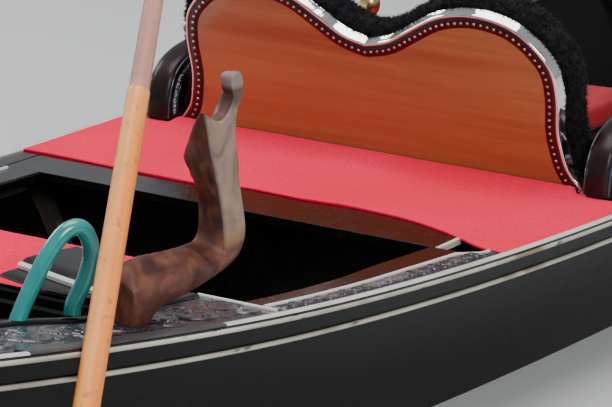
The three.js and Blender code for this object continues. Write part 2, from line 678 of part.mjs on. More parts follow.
// Carpet on the fore well's floor, between the seat and the bow bulkhead
const FLOOR_CARPET_X = [-860, 1900];
add('floor_carpet', loft(stationsBetween(FLOOR_CARPET_X[0], FLOOR_CARPET_X[1]), (x) => {
  const low = floorTop(x) + GAP;
  return [[-95, low], [285, low], [285, low + CARPET_THICK], [-95, low + CARPET_THICK]];
}), RED_CARPET);

// Brass finials on the caps beside the fore well
const FINIAL_X = -300;
const FINIAL = [
  [0, 0], [26, 0], [26, 10], [12, 18], [10, 45], [22, 62], [28, 85], [22, 108], [10, 122],
  [14, 132], [10, 142], [0, 146],
];
for (const { side, label } of SIDES) {
  const turned = new THREE.LatheGeometry(FINIAL.map(([r, h]) => new THREE.Vector2(r, h)), 14);
  const finial = add(`brass_finial_${label}`, turned.rotateX(Math.PI / 2), BRASS);
  finial.position.set(FINIAL_X, side * (topBreadth(FINIAL_X, side) - 42), sheer(FINIAL_X) + 1);
}

// Forked rowlock in walnut: a limb rises from the side deck to an elbow, then a neck.
// Each row is one section: outer front corner, ridge, inner back corner, inner front corner.
const rowlockFoot = (x) => sheer(x) + GAP + 0.2;
const LIMB = [
  [[-3158, -366, rowlockFoot(-3158)], [-3166, -374, 530], [-3168, -326, 562], [-3158, -318, rowlockFoot(-3158)]],
  [[-3115, -370, rowlockFoot(-3115)], [-3145, -386, 535], [-3150, -330, 578], [-3115, -318, rowlockFoot(-3115)]],
  [[-3080, -374, 478], [-3100, -398, 538], [-3110, -336, 584], [-3080, -320, 476]],
  [[-3020, -378, 487], [-3040, -405, 541.5], [-3055, -342, 580], [-3020, -328, 485]],
  [[-2950, -386, 498], [-2970, -407, 541], [-3000, -345, 575.5], [-2950, -335, 494]],
  [[-2866.6, -397, 522], [-2920, -407, 541.5], [-2955, -345, 573.5], [-2866, -342, 520]],
  [[-2838, -402, 545], [-2897.7, -407, 550], [-2926.4, -345, 573.6], [-2838, -345, 545]],
  [[-2830, -406, 573], [-2898, -407, 572], [-2909, -345, 590], [-2830, -347, 573]],
  [[-2834.5, -407, 604], [-2902.5, -407, 608], [-2907, -345, 615], [-2834, -347, 604]],
  [[-2847.5, -407, 650], [-2915.5, -407, 650], [-2912, -345, 658], [-2847.5, -347, 650]],
  [[-2860.5, -407, 695], [-2928.5, -407, 695], [-2932, -345, 695], [-2860.5, -347, 695]],
  [[-2871, -406.5, 745], [-2946, -406.5, 745], [-2962, -345.5, 742], [-2871, -347.5, 745]],
];
// The fork's outline on its outer and inner faces, from the neck's front up over the ear, through
// the notch, round the horn and down the neck's back
const FORK_OUTER = [
  [-2862, -407, 700], [-2873.5, -407, 765], [-2874.5, -407, 800], [-2868, -406, 826],
  [-2853, -405, 845], [-2851, -404, 867], [-2858, -402, 885], [-2869, -401, 890],
  [-2881, -401, 883], [-2884, -402, 866], [-2880, -404, 848], [-2893, -405, 828],
  [-2908, -406, 815], [-2930, -406, 812], [-2955, -406, 821], [-2990, -404, 843],
  [-2982, -407, 828], [-2969, -407, 803], [-2955, -407, 761], [-2936, -407, 715], [-2925, -407, 690],
];
const FORK_INNER = [
  [-2862, -347, 700], [-2873.5, -349, 765], [-2874, -362, 800], [-2866, -374, 826],
  [-2852, -379, 845], [-2851, -381, 865], [-2859, -383, 882], [-2869, -383, 888],
  [-2879, -382, 882], [-2876.5, -380, 866], [-2872.5, -378, 848], [-2886.5, -374, 828],
  [-2900, -368, 814], [-2922, -366, 810.5], [-2945, -368, 815], [-2984, -392, 838],
  [-2968, -372, 817], [-2964, -356, 780], [-2965.6, -345, 741], [-2944, -345, 712], [-2930, -345, 695],
];
// The outline's corners that bound the head of the neck, the horn, the ear's arm and the ear
const FORK_RUNS = [
  [0, 1, 2, 12, 13, 17, 18, 20], [13, 14, 15, 16, 17], [2, 3, 11, 12], [3, 4, 10, 11], [4, 5, 6, 7, 8, 9, 10],
];
const limbRuns = LIMB.slice(1).map((section, i) => [...LIMB[i], ...section]);
const forkRuns = FORK_RUNS.map((run) => run.flatMap((i) => [FORK_OUTER[i], FORK_INNER[i]]));
add('rowlock', wasm.Manifold.union(
  [...limbRuns, ...forkRuns].map((corners) => wasm.Manifold.hull(corners)),
), WALNUT);

// Green bent tube standing on the starboard side deck
const TUBE_RADIUS = 16;
const TUBE_PATH = [
  [-3293, -202, 0], [-3275, -211, 45], [-3240, -230, 120], [-3205, -249, 167], [-3175, -266, 170],
  [-3158, -275, 130], [-3166, -271, 80], [-3187, -259, 30], [-3190, -257, 0],
];
const tubeFoot = sheer(-3293) - 8;
const tubeCurve = new THREE.CatmullRomCurve3(
  TUBE_PATH.map(([x, y, z]) => new THREE.Vector3(x, y, tubeFoot + z)),
);
const tubeSection = shapeOf(Array.from({ length: 8 }, (_, i) => {
  const angle = (i * Math.PI) / 4;
  return [TUBE_RADIUS * Math.cos(angle), TUBE_RADIUS * Math.sin(angle)];
}));
const tube = fromGeometry(new THREE.ExtrudeGeometry(tubeSection, {
  steps: 24, extrudePath: tubeCurve, bevelEnabled: false,
}));
const aboveSideDeck = loft(stationsBetween(-3500, -3000), (x) => [
  [-600, sheer(x) + GAP], [600, sheer(x) + GAP], [600, 900], [-600, 900],
]);
add('green_tube', tube.intersect(aboveSideDeck), GREEN_TUBE);

// Oar: a tapered round shaft and a flat blade, leaning on the outer edge of the gunwale and reaching
// down into the water. It swings about the shaft's middle at the point where it leans.
const OAR_REST_X = -3367;
const OAR_RADIUS = 24;
const OAR_ALONG = new THREE.Vector3(0.93, 0.4, 1).normalize();
const gunwaleEdge = (x) => new THREE.Vector3(x, -topBreadth(x, STAR), sheer(x) + GAP);
const gunwaleRun = gunwaleEdge(OAR_REST_X + 20).sub(gunwaleEdge(OAR_REST_X - 20));
const OAR_AXIS = gunwaleRun.clone().cross(OAR_ALONG).normalize();
const OAR_PIVOT = gunwaleEdge(OAR_REST_X).addScaledVector(OAR_AXIS, OAR_RADIUS + 2 * GAP);
const SHAFT_PROFILE = [[-900, 26], [-400, 25], [0, OAR_RADIUS], [530, 21.5], [755, 18], [1800, 16.5]];
const OAR_SIDES = 16;
const oar = new THREE.Group();
oar.position.copy(OAR_PIVOT);
const sideways = new THREE.Vector3(1, 0, 0).cross(OAR_ALONG).normalize();
const across = OAR_ALONG.clone().cross(sideways).normalize();
oar.quaternion.setFromRotationMatrix(new THREE.Matrix4().makeBasis(sideways, across, OAR_ALONG));
boat.add(oar);
const shaftLow = SHAFT_PROFILE[0][0];
const shaftHigh = SHAFT_PROFILE[SHAFT_PROFILE.length - 1][0];
const shaft = new THREE.LatheGeometry([
  new THREE.Vector2(0, shaftLow), ...SHAFT_PROFILE.map(([z, r]) => new THREE.Vector2(r, z)),
  new THREE.Vector2(0, shaftHigh),
], OAR_SIDES);
add('oar_shaft', shaft.rotateX(Math.PI / 2), OAR_WOOD, oar);
const BLADE_END = -2400;
const BLADE = [[-45, shaftLow - GAP], [-68, -1500], [-75, BLADE_END], [75, BLADE_END], [68, -1500], [45, shaftLow - GAP]];
const BLADE_THICK = 22;
add('oar_blade', sidePlate(BLADE, -BLADE_THICK / 2, BLADE_THICK / 2), OAR_WOOD, oar);

// Bow iron: a toothed blade standing on the stem, with a strip down under the forefoot
const IRON_HALF = 7;
const TOOTH_COUNT = 6;
const TOOTH_PITCH = 70;
const TOOTH_TALL = 48;
const TEETH_LOW_Z = 915;
const NECK_X = POST_END + 62;
const TOOTH_X = POST_END + 172;
const stemFoot = lines(POST_END).keel;
const stripAt = (x, down) => [x, lines(x).keel - down];
const teeth = [];
for (let i = 0; i < TOOTH_COUNT; i++) {
  const low = TEETH_LOW_Z + i * TOOTH_PITCH;
  teeth.push([NECK_X, low], [TOOTH_X - 8, low + 4], [TOOTH_X, low + TOOTH_TALL - 8],
    [TOOTH_X - 6, low + TOOTH_TALL], [NECK_X, low + TOOTH_TALL]);
}
const BLADE_FRONT = [
  [NECK_X + 20, 1385], [NECK_X + 90, 1400], [NECK_X + 150, 1450], [NECK_X + 165, 1540],
  [NECK_X + 130, 1630], [NECK_X + 50, 1690], [NECK_X - 40, 1705],
];
const BLADE_BACK = [
  [POST_END - 38, 1690], [POST_END - 30, 1600], [POST_END - 5, 1500], [POST_END + 8, 1420],
  [POST_END + 4, 1350],
];
const REAR_TOOTH = [
  [POST_END - 20, 1312], [POST_END - 110, 1300], [POST_END - 118, 1284], [POST_END - 110, 1268],
  [POST_END + GAP, 1262],
];
add('bow_iron', sidePlate([
  stripAt(HULL_END + 120, GAP), stripAt(HULL_END + 120, 7), stripAt(POST_STEP, 9),
  [POST_END, stemFoot - 14], [POST_END + 30, stemFoot + 30], [NECK_X, TEETH_LOW_Z - 60],
  ...teeth, ...smooth(BLADE_FRONT, 14), ...smooth(BLADE_BACK, 8), ...REAR_TOOTH,
  [POST_END + GAP, stemFoot], [POST_END, stemFoot - GAP], stripAt(POST_STEP, GAP),
], -IRON_HALF, IRON_HALF), BRIGHT_METAL);

// Stern iron: a plain strip up the sternpost, curled over at its head
const sternFoot = lines(-POST_END).keel;
const STERN_CURL = [
  [-POST_END - 50, 1010], [-POST_END - 62, 1110], [-POST_END - 40, 1200], [-POST_END + 25, 1240],
  [-POST_END + 80, 1215], [-POST_END + 92, 1160], [-POST_END + 60, 1135], [-POST_END + 35, 1160],
  [-POST_END + 10, 1160], [-POST_END - 5, 1110], [-POST_END - GAP, 1030],
];
add('stern_iron', sidePlate([
  stripAt(-HULL_END - 120, GAP), stripAt(-POST_STEP, GAP), [-POST_END, sternFoot - GAP],
  [-POST_END - GAP, sternFoot], ...smooth(STERN_CURL, 22).reverse(),
  [-POST_END - 25, sternFoot + 30], [-POST_END, sternFoot - 14], stripAt(-POST_STEP, 9),
  stripAt(-HULL_END - 120, 7),
], -IRON_HALF, IRON_HALF), BRIGHT_METAL);

export default boat;
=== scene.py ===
"""A Venetian rowing gondola, dressed piece by piece in the order it is put together.

Metres: +X to the bow, +Y to port, +Z up, with the waterline at z = 0.
"""
import math

import bmesh
import bpy
import numpy as np
from mathutils import Matrix, Vector, noise


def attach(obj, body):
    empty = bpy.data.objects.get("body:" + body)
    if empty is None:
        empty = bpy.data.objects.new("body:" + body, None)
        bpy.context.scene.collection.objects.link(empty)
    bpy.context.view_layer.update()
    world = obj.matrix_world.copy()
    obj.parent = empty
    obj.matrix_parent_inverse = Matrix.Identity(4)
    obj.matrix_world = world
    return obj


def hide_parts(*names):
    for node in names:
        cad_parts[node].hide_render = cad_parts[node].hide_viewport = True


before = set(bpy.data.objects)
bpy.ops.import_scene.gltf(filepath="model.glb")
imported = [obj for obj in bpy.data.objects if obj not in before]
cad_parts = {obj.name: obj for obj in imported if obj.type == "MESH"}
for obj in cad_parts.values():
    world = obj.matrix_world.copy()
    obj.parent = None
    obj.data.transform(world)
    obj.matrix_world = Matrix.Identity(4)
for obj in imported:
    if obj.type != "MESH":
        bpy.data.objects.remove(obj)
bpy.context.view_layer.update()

# Camera: a long lens on the bank, looking down over the starboard quarter.
# Its frame ends ahead of the stage and at the seat back's two lobes.
CAMERA_PLACE = Vector((-8.7146, -4.0131, 2.5149))
CAMERA_YAW = math.radians(30.5846)
CAMERA_DOWN = math.radians(15.2208)
CAMERA_ROLL = math.radians(1.8444)
CAMERA_LENS = 223.33

ahead = Vector((
    math.cos(CAMERA_YAW) * math.cos(CAMERA_DOWN),
    math.sin(CAMERA_YAW) * math.cos(CAMERA_DOWN),
    -math.sin(CAMERA_DOWN),
))
level_right = Vector((math.sin(CAMERA_YAW), -math.cos(CAMERA_YAW), 0))
level_up = level_right.cross(ahead)
camera_right = math.cos(CAMERA_ROLL) * level_right + math.sin(CAMERA_ROLL) * level_up
camera_up = math.cos(CAMERA_ROLL) * level_up - math.sin(CAMERA_ROLL) * level_right
camera = bpy.data.objects.new("camera", bpy.data.cameras.new("camera"))
camera.data.lens = CAMERA_LENS
camera.data.sensor_width = 36
camera.data.clip_end = 200
camera.matrix_world = Matrix.Translation(CAMERA_PLACE) @ Matrix(
    (camera_right, camera_up, -ahead)
).transposed().to_4x4()
bpy.context.scene.collection.objects.link(camera)
bpy.context.scene.camera = camera

# Bottom planking: flat boards across the hull, rockered along, tarred and lacquered black.
# All of it lies under water, so only its own finish changes here.
class Reading:
    """A number worked out at each point of a surface, ready for Python's operators."""

    def __init__(self, socket):
        self.socket = socket

    def maths(self, operation, first, second):
        node = self.socket.id_data.nodes.new("ShaderNodeMath")
        node.operation = operation
        for entry, value in zip(node.inputs, (first, second)):
            if isinstance(value, Reading):
                self.socket.id_data.links.new(value.socket, entry)
            else:
                entry.default_value = value
        return Reading(node.outputs[0])

    def __add__(self, other):
        return self.maths("ADD", self, other)

    def __radd__(self, other):
        return self.maths("ADD", other, self)

    def __mul__(self, other):
        return self.maths("MULTIPLY", self, other)

    def __rmul__(self, other):
        return self.maths("MULTIPLY", other, self)


class Finish:
    """A paint, wood, metal or cloth, as a material made of nodes."""

    def __init__(self, name, **constants):
        self.material = bpy.data.materials.new(name)
        self.material.use_nodes = True
        self.tree = self.material.node_tree
        self.tree.nodes.clear()
        output = self.tree.nodes.new("ShaderNodeOutputMaterial")
        self.surface = self.tree.nodes.new("ShaderNodeBsdfPrincipled")
        self.tree.links.new(self.surface.outputs[0], output.inputs[0])
        for socket, value in constants.items():
            self.surface.inputs[socket.replace("_", " ")].default_value = value

    def node(self, kind, settings, sockets, output=0):
        """Any node: its settings first, then the values or links of its sockets."""
        node = self.tree.nodes.new(kind)
        for name, value in settings.items():
            if name == "stops":
                stops = node.color_ramp.elements
                while len(stops) < len(value):
                    stops.new(0.5)
                for stop, (place, colour) in zip(stops, value):
                    stop.position = place
                    stop.color = (*colour, 1)
            else:
                setattr(node, name, value)
        for entry, value in sockets.items():
            if isinstance(value, Reading):
                self.tree.links.new(value.socket, node.inputs[entry])
            else:
                node.inputs[entry].default_value = value
        return Reading(node.outputs[output])

    def place(self, stretch=(1, 1, 1)):
        """Where a point is on the piece, in metres, stretched along the axes."""
        spot = self.node("ShaderNodeTexCoord", {}, {}, "Object")
        return self.node("ShaderNodeVectorMath", {"operation": "MULTIPLY"}, {0: spot, 1: stretch})

    def axis(self, which):
        """How far along X, Y or Z a point is."""
        spot = self.node("ShaderNodeTexCoord", {}, {}, "Object")
        return self.node("ShaderNodeSeparateXYZ", {}, {0: spot}, which)

    def cloud(self, scale, stretch=(1, 1, 1), detail=3.0, twist=0.0):
        """Soft random patches, as many to the metre as scale says."""
        return self.node("ShaderNodeTexNoise", {}, {
            "Vector": self.place(stretch), "Scale": scale, "Detail": detail, "Distortion": twist,
        })

    def between(self, reading, low, high, start=0.0, end=1.0):
        """Spreads the readings from low to high over start to end."""
        return self.node("ShaderNodeMapRange", {}, {
            "Value": reading, "From Min": low, "From Max": high, "To Min": start, "To Max": end,
        })

    def mixed(self, factor, first, second):
        """One colour over another."""
        first = first if isinstance(first, Reading) else (*first, 1)
        second = second if isinstance(second, Reading) else (*second, 1)
        return self.node("ShaderNodeMix", {"data_type": "RGBA"}, {0: factor, 6: first, 7: second}, 2)

    def painted(self, factor, first, second):
        """Colours the surface, with one colour over another."""
        self.wear("Base Color", self.mixed(factor, first, second))

    def ramp(self, reading, *stops):
        """A run of colours along a reading."""
        return self.node("ShaderNodeValToRGB", {"stops": stops}, {0: reading})

    def raised(self, height, distance, strength=1.0):
        """Lets a height show in the way the surface takes the light."""
        bump = self.node("ShaderNodeBump", {}, {
            "Height": height, "Distance": distance, "Strength": strength,
        })
        self.wear("Normal", bump)

    def wear(self, socket, reading):
        """Feeds one of the surface's own sockets."""
        self.tree.links.new(reading.socket, self.surface.inputs[socket])


def coat(nodes, finish):
    """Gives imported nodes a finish, and leaves their shape alone."""
    for name in nodes:
        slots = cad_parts[name].data.materials
        slots.clear()
        slots.append(finish.material)


def black_lacquer(name, shine, coat_weight):
    """Many coats of black lacquer, dulled in patches and a little dusty."""
    paint = Finish(name, Coat_Weight=coat_weight, Coat_Roughness=0.06, Specular_IOR_Level=shine)
    dull = paint.cloud(2.3, stretch=(0.5, 1, 1), detail=4)
    dust = paint.between(paint.cloud(34, detail=5), 0.5, 0.72)
    paint.painted(dust * 0.35, (0.003, 0.0032, 0.003), (0.015, 0.014, 0.013))
    paint.wear("Roughness", paint.between(dull, 0.3, 0.75, 0.12, 0.3) + dust * 0.12)
    paint.raised(paint.cloud(5, stretch=(0.35, 1, 1), detail=2), 0.0012, 0.5)
    return paint


hull_lacquer = black_lacquer("hull lacquer", 0.07, 0.04)
coat(["bottom_planking_aft", "bottom_planking_middle", "bottom_planking_fore"], hull_lacquer)

# Side planking: one wide flared board a side, bent round the timbers and nailed to the bottom.
# Fir under many coats of black lacquer, thick enough that no seam shows.
HULL_COLUMNS = ("x", "keel", "chine_port", "chine_star", "top_port", "top_star", "sheer")
HULL_LINES = (
    (-5.3, 0.56, 0.012, 0.012, 0.025, 0.025, 1.0),
    (-4.9, 0.33, 0.07, 0.04, 0.19, 0.12, 0.792),
    (-4.3, 0.17, 0.19, 0.11, 0.37, 0.25, 0.638),
    (-3.5, 0.03, 0.32, 0.19, 0.56, 0.39, 0.502),
    (-2.6, -0.09, 0.43, 0.26, 0.7, 0.51, 0.407),
    (-1.5, -0.175, 0.5, 0.32, 0.79, 0.565, 0.351),
    (0.0, -0.215, 0.53, 0.33, 0.83, 0.59, 0.3425),
    (1.5, -0.175, 0.49, 0.31, 0.785, 0.56, 0.404),
    (2.6, -0.085, 0.41, 0.25, 0.68, 0.48, 0.498),
    (3.5, 0.04, 0.3, 0.18, 0.54, 0.37, 0.62),
    (4.3, 0.2, 0.175, 0.105, 0.35, 0.235, 0.8),
    (4.9, 0.4, 0.065, 0.04, 0.17, 0.11, 1.0),
    (5.3, 0.64, 0.012, 0.012, 0.025, 0.025, 1.21),
)
PORT, STARBOARD = 1, -1
SIDES = ((PORT, "port"), (STARBOARD, "starboard"))
SIDE_THICK = 0.03
BOTTOM_THICK = 0.025
CAP_THICK = 0.018
HULL_END = 4.9
HAIRLINE = 0.0003  # between neighbouring pieces
BREAK = 0.00005  # either side of a step in a section


def faired(column, x):
    """A smooth curve through one column of the hull's table."""
    at = HULL_COLUMNS.index(column)
    last = len(HULL_LINES) - 1
    row = 0
    while row < last - 1 and x > HULL_LINES[row + 1][0]:
        row += 1

    def slope(k):
        before, after = HULL_LINES[max(k - 1, 0)], HULL_LINES[min(k + 1, last)]
        return (after[at] - before[at]) / (after[0] - before[0])

    near, far = HULL_LINES[row], HULL_LINES[row + 1]
    span = far[0] - near[0]
    t = (x - near[0]) / span
    rise = far[at] - near[at]
    leave, arrive = slope(row) * span, slope(row + 1) * span
    bend = (3 * rise - 2 * leave - arrive) * t * t + (leave + arrive - 2 * rise) * t ** 3
    return near[at] + leave * t + bend


def sheer(x):
    return faired("sheer", x)


def beam(x, side):
    """Half-breadth at the gunwale."""
    return faired("top_port" if side == PORT else "top_star", x)


def planked(x, z, side):
    """Half-breadth to the outside of the planking at a height."""
    chine = faired("chine_port" if side == PORT else "chine_star", x)
    keel = faired("keel", x)
    return chine + (beam(x, side) - chine) * (z - keel) / (sheer(x) - keel)


def shaped(name, points, faces, finish, sharp=40):
    """A mesh from points and faces, smooth except along edges sharper than an angle."""
    mesh = bpy.data.meshes.new(name)
    mesh.from_pydata([tuple(p) for p in points], [], [tuple(f) for f in faces])
    work = bmesh.new()
    work.from_mesh(mesh)
    bmesh.ops.recalc_face_normals(work, faces=work.faces)
    work.to_mesh(mesh)
    work.free()
    mesh.materials.append(finish.material)
    mesh.shade_smooth()
    if sharp:
        mesh.set_sharp_from_angle(angle=math.radians(sharp))
    piece = bpy.data.objects.new(name, mesh)
    bpy.context.scene.collection.objects.link(piece)
    return piece


def skinned(name, rings, finish, sharp=40):
    """A closed skin over rings of points, flat at both ends."""
    count, size = len(rings), len(rings[0])
    points = [p for ring in rings for p in ring]
    faces = []
    for here in range(0, (count - 1) * size, size):
        for j in range(size):
            k = (j + 1) % size
            faces.append((here + j, here + k, here + size + k, here + size + j))
    faces += [range(size), range((count - 1) * size, count * size)]
    return shaped(name, points, faces, finish, sharp)


def run(name, start, end, section, finish, pitch=0.07, sharp=40, breaks=()):
    """A length of the boat, through sections given as y and z at each x. It can step at a break."""
    count = max(2, math.ceil((end - start) / pitch) + 1)
    places = list(np.linspace(start, end, count))
    for x in breaks:
        places += [x - BREAK, x + BREAK]
    return skinned(name, [[(x, y, z) for y, z in section(x)] for x in sorted(places)], finish, sharp)


def mirrored(shape, side):
    """A section drawn to port, for either side."""
    return [(side * y, z) for y, z in shape]


def fitted(piece, slot, *nodes, body="hull"):
    """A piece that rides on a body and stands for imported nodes."""
    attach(piece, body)
    if nodes:
        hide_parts(*nodes)
    return piece


def cap_under(x):
    return sheer(x) - CAP_THICK


for side, label in SIDES:
    def plank_section(x):
        low = faired("keel", x) + BOTTOM_THICK + HAIRLINE
        high = cap_under(x) - HAIRLINE
        outer = [(planked(x, z, side), z) for z in (low + (high - low) * k / 6 for k in range(7))]
        inner = [(y - SIDE_THICK, z) for y, z in reversed(outer)]
        return mirrored(outer + inner, side)

    planking = run(f"planking_{label}", -HULL_END, HULL_END, plank_section, hull_lacquer)
    fitted(planking, "lacquer", f"side_{label}")

# Stem and stern posts: oak, shaped to a blunt wedge that the planks of both sides land on.
# Painted with the hull. Their crowned heads stand a little above the caps.
POST_END = 5.3
POST_CROWN = 0.012


def breadth(x, inset=0.0):
    """The boat's middle and half its width at the gunwale, less an inset on each side."""
    port, star = beam(x, PORT) - inset, beam(x, STARBOARD) - inset
    return (port - star) / 2, (port + star) / 2


def half_round(middle, base, half, tall, steps=6):
    """A section domed over a base."""
    turns = [math.pi * k / steps for k in range(steps + 1)]
    return [(middle + half * math.cos(turn), base + tall * math.sin(turn)) for turn in turns]


def eased(piece, width, segments=2):
    """Takes the sharpness off a piece's edges."""
    for edge in piece.data.edges:
        edge.use_edge_sharp = False
    bevel = piece.modifiers.new("eased edges", "BEVEL")
    bevel.width = width
    bevel.segments = segments
    bevel.limit_method = "ANGLE"
    bevel.angle_limit = math.radians(35)
    bevel.harden_normals = True
    return piece


def post_section(x):
    low = faired("keel", x)
    middle, half = breadth(x)
    feet = [(-faired("chine_star", x), low), (faired("chine_port", x), low)]
    return feet + half_round(middle, sheer(x), half, POST_CROWN, 8)


for post, start, end in (
    ("stern_post", -POST_END, -HULL_END - HAIRLINE), ("stem_post", HULL_END + HAIRLINE, POST_END),
):
    fitted(eased(run(post, start, end, post_section, hull_lacquer, 0.04, 50), 0.003), "lacquer", post)

# Gunwale caps: hardwood boards let down over the planking's top edge and lacquered black.
# Beside the after well they widen inboard into a ledge.
lacquer = black_lacquer("black lacquer", 0.36, 0.22)
CAP_WIDTH = 0.067
LEDGE_X = (-2.7897, -2.62, -2.45, -2.3, -2.0703)
LEDGE_WIDE = (0.122, 0.122, 0.13, 0.148, 0.158)


def cap_width(x):
    return float(np.interp(x, LEDGE_X, LEDGE_WIDE)) if LEDGE_X[0] <= x <= LEDGE_X[-1] else CAP_WIDTH


for side, label in SIDES:
    def cap_section(x):
        outer, inner = beam(x, side), beam(x, side) - cap_width(x)
        low, high = cap_under(x), sheer(x)
        return mirrored([
            (inner, low), (planked(x, low, side), low), (outer, high - 0.002), (outer - 0.002, high),
            (inner + 0.004, high), (inner, high - 0.004),
        ], side)

    cap = run(f"cap_{label}", -HULL_END, HULL_END, cap_section, lacquer, 0.07, 30, (LEDGE_X[0], LEDGE_X[-1]))
    fitted(cap, "carved_lacquer", f"gunwale_cap_{label}")

# Carving beside the stage and the after well: scrolling leaves cut into the cap and the side deck.
# Cut by hand in limewood, lacquered black, and rubbed back to the wood on the high places.
carved_lacquer = Finish("carved lacquer", Coat_Weight=0.5, Coat_Roughness=0.12)
high_places = carved_lacquer.node("ShaderNodeAttribute", {"attribute_name": "relief"}, {}, "Fac")
rubbed = carved_lacquer.between(carved_lacquer.cloud(9, detail=4), 0.5, 0.62)
worn_high = carved_lacquer.between(high_places, 0.45, 0.95) * rubbed
grime = carved_lacquer.between(carved_lacquer.cloud(60, detail=5), 0.35, 0.7)
black_or_plum = carved_lacquer.mixed(grime, (0.012, 0.011, 0.014), (0.05, 0.041, 0.052))
carved_lacquer.painted(worn_high, black_or_plum, (0.24, 0.19, 0.2))
carved_lacquer.wear("Roughness", carved_lacquer.between(grime, 0, 1, 0.16, 0.34) + worn_high * 0.2)
carved_lacquer.raised(carved_lacquer.cloud(220, detail=4), 0.0006, 0.7)

CARVING_PITCH = 0.0017
CARVING_DEPTH = 0.0055


def carved_leaves(length, width, seed):
    """Heights of a running scroll, with a volute in each bend and lobed leaves off its stem."""
    across = max(8, int(width / CARVING_PITCH))
    along = int(length / CARVING_PITCH)
    field = np.zeros((along + 1, across + 1))
    chance = np.random.default_rng(seed)

    def cut(x, y, radius, height):
        lo_i, hi_i = int((x - radius) / CARVING_PITCH), int((x + radius) / CARVING_PITCH) + 2
        lo_j, hi_j = int((y - radius) / width * across), int((y + radius) / width * across) + 2
        lo_i, lo_j = max(lo_i, 0), max(lo_j, 0)
        hi_i, hi_j = min(hi_i, along + 1), min(hi_j, across + 1)
        if lo_i >= hi_i or lo_j >= hi_j:
            return
        far = (np.arange(lo_i, hi_i)[:, None] * CARVING_PITCH - x) ** 2
        far = far + (np.arange(lo_j, hi_j)[None, :] / across * width - y) ** 2
        dome = height * np.sqrt(np.clip(1 - far / radius ** 2, 0, 1))
        field[lo_i:hi_i, lo_j:hi_j] = np.maximum(field[lo_i:hi_i, lo_j:hi_j], dome)

    def leaf(x, y, angle, size, height):
        for lobe in np.linspace(-0.9, 0.9, 5):
            reach = size * (1 - 0.35 * abs(lobe))
            for t in np.linspace(0, 1, 16):
                turn = angle + lobe * (0.4 + 0.5 * t)
                swell = math.sin(math.pi * min(1, 0.15 + t * 0.85)) ** 0.7
                cut(x + reach * t * math.cos(turn), y + reach * t * math.sin(turn),
                    size * 0.13 * (0.35 + swell), height * (0.55 + 0.45 * swell))

    period = width * 1.7
    for s in np.arange(0, length, CARVING_PITCH * 1.5):
        y = width * (0.5 + 0.27 * math.sin(2 * math.pi * s / period))
        cut(s, y, width * 0.055, 0.0042)
    for k in range(math.ceil(length / period * 2) + 1):
        x = (k + 0.5) * period / 2
        up = 1 if k % 2 else -1
        y = width * (0.5 + 0.1 * up)
        for t in np.linspace(0, 1, 90):
            turn = up * (t * 3.1 * math.pi + 0.6)
            radius = width * 0.27 * (1 - 0.82 * t)
            thick = width * (0.05 - 0.012 * t)
            cut(x + radius * math.cos(turn), y + radius * math.sin(turn), thick, 0.0046)
        cut(x, y, width * 0.062, CARVING_DEPTH)
        for spread in (-0.9, 0.1, 1.1):
            angle = -up * (math.pi / 2 + spread * 0.9) + chance.uniform(-0.2, 0.2)
            leaf(x + period * 0.2 * spread, y - up * width * 0.05, angle, width * 0.34, 0.0045)
            leaf(x + period * 0.25, width * (0.5 - 0.3 * up), angle + math.pi, width * 0.26, 0.0038)
    return field


def carved_band(name, side, start, end, near, far, seed):
    """A carved strip of the boat's top, between two distances from its middle."""
    middle = (start + end) / 2
    field = carved_leaves(end - start, abs(far(middle) - near(middle)), seed)
    along, across = field.shape
    points, faces = [], []
    for i in range(along):
        x = start + (end - start) * i / (along - 1)
        for j in range(across):
            y = side * (near(x) + (far(x) - near(x)) * (j / (across - 1)))
            trim = min(1, min(i, along - 1 - i, j, across - 1 - j) / 3)
            points.append((x, y, sheer(x) + 0.0004 + field[i, j] * trim))
    top = len(points)
    for i in range(along):
        for j in (0, across - 1):
            x, y, z = points[i * across + j]
            points.append((x, y, sheer(x) - 0.003))
    for i in range(along - 1):
        for j in range(across - 1):
            a = i * across + j
            faces.append((a, a + 1, a + across + 1, a + across))
        a, b = i * across, top + i * 2
        faces.append((a, a + across, b + 2, b))
        faces.append((a + across - 1, b + 1, b + 3, a + 2 * across - 1))
        faces.append((b, b + 2, b + 3, b + 1))
    for i in (0, along - 1):
        faces.append([i * across + j for j in range(across)] + [top + i * 2 + 1, top + i * 2])
    band = shaped(name, points, faces, carved_lacquer, 0)
    relief = np.concatenate([field.ravel() / CARVING_DEPTH, np.zeros(along * 2)]).astype(np.float32)
    band.data.attributes.new("relief", "FLOAT", "POINT").data.foreach_set("value", relief)
    fitted(band, "carved_lacquer")


RAIL_X = (-3.62, -3.5, -3.1, -2.986)
RAIL_WIDE = (0.036, 0.038, 0.033, 0.02)


def rail_width(x):
    return float(np.interp(x, RAIL_X, RAIL_WIDE))


STAGE_PORT_Y = 0.4
DECK_EDGE_X = (-3.6197, -3.43, -3.29, -3.19, -3.11, -2.79)
DECK_EDGE_Y = (0.131, 0.16, 0.184, 0.236, 0.248, 0.256)


def deck_inner(x, side):
    """Where the side deck ends inboard, over the stage."""
    return STAGE_PORT_Y if side == PORT else float(np.interp(x, DECK_EDGE_X, DECK_EDGE_Y))


def carving_inner(x, side):
    """Where the side deck's carving stops inboard, against a plain rail."""
    return deck_inner(x, side) + 0.04


def cap_carving_outer(x, side):
    return beam(x, side) - 0.019


def cap_carving_inner(x, side):
    return cap_carving_outer(x, side) - 0.38 * (cap_width(x) - 0.01)


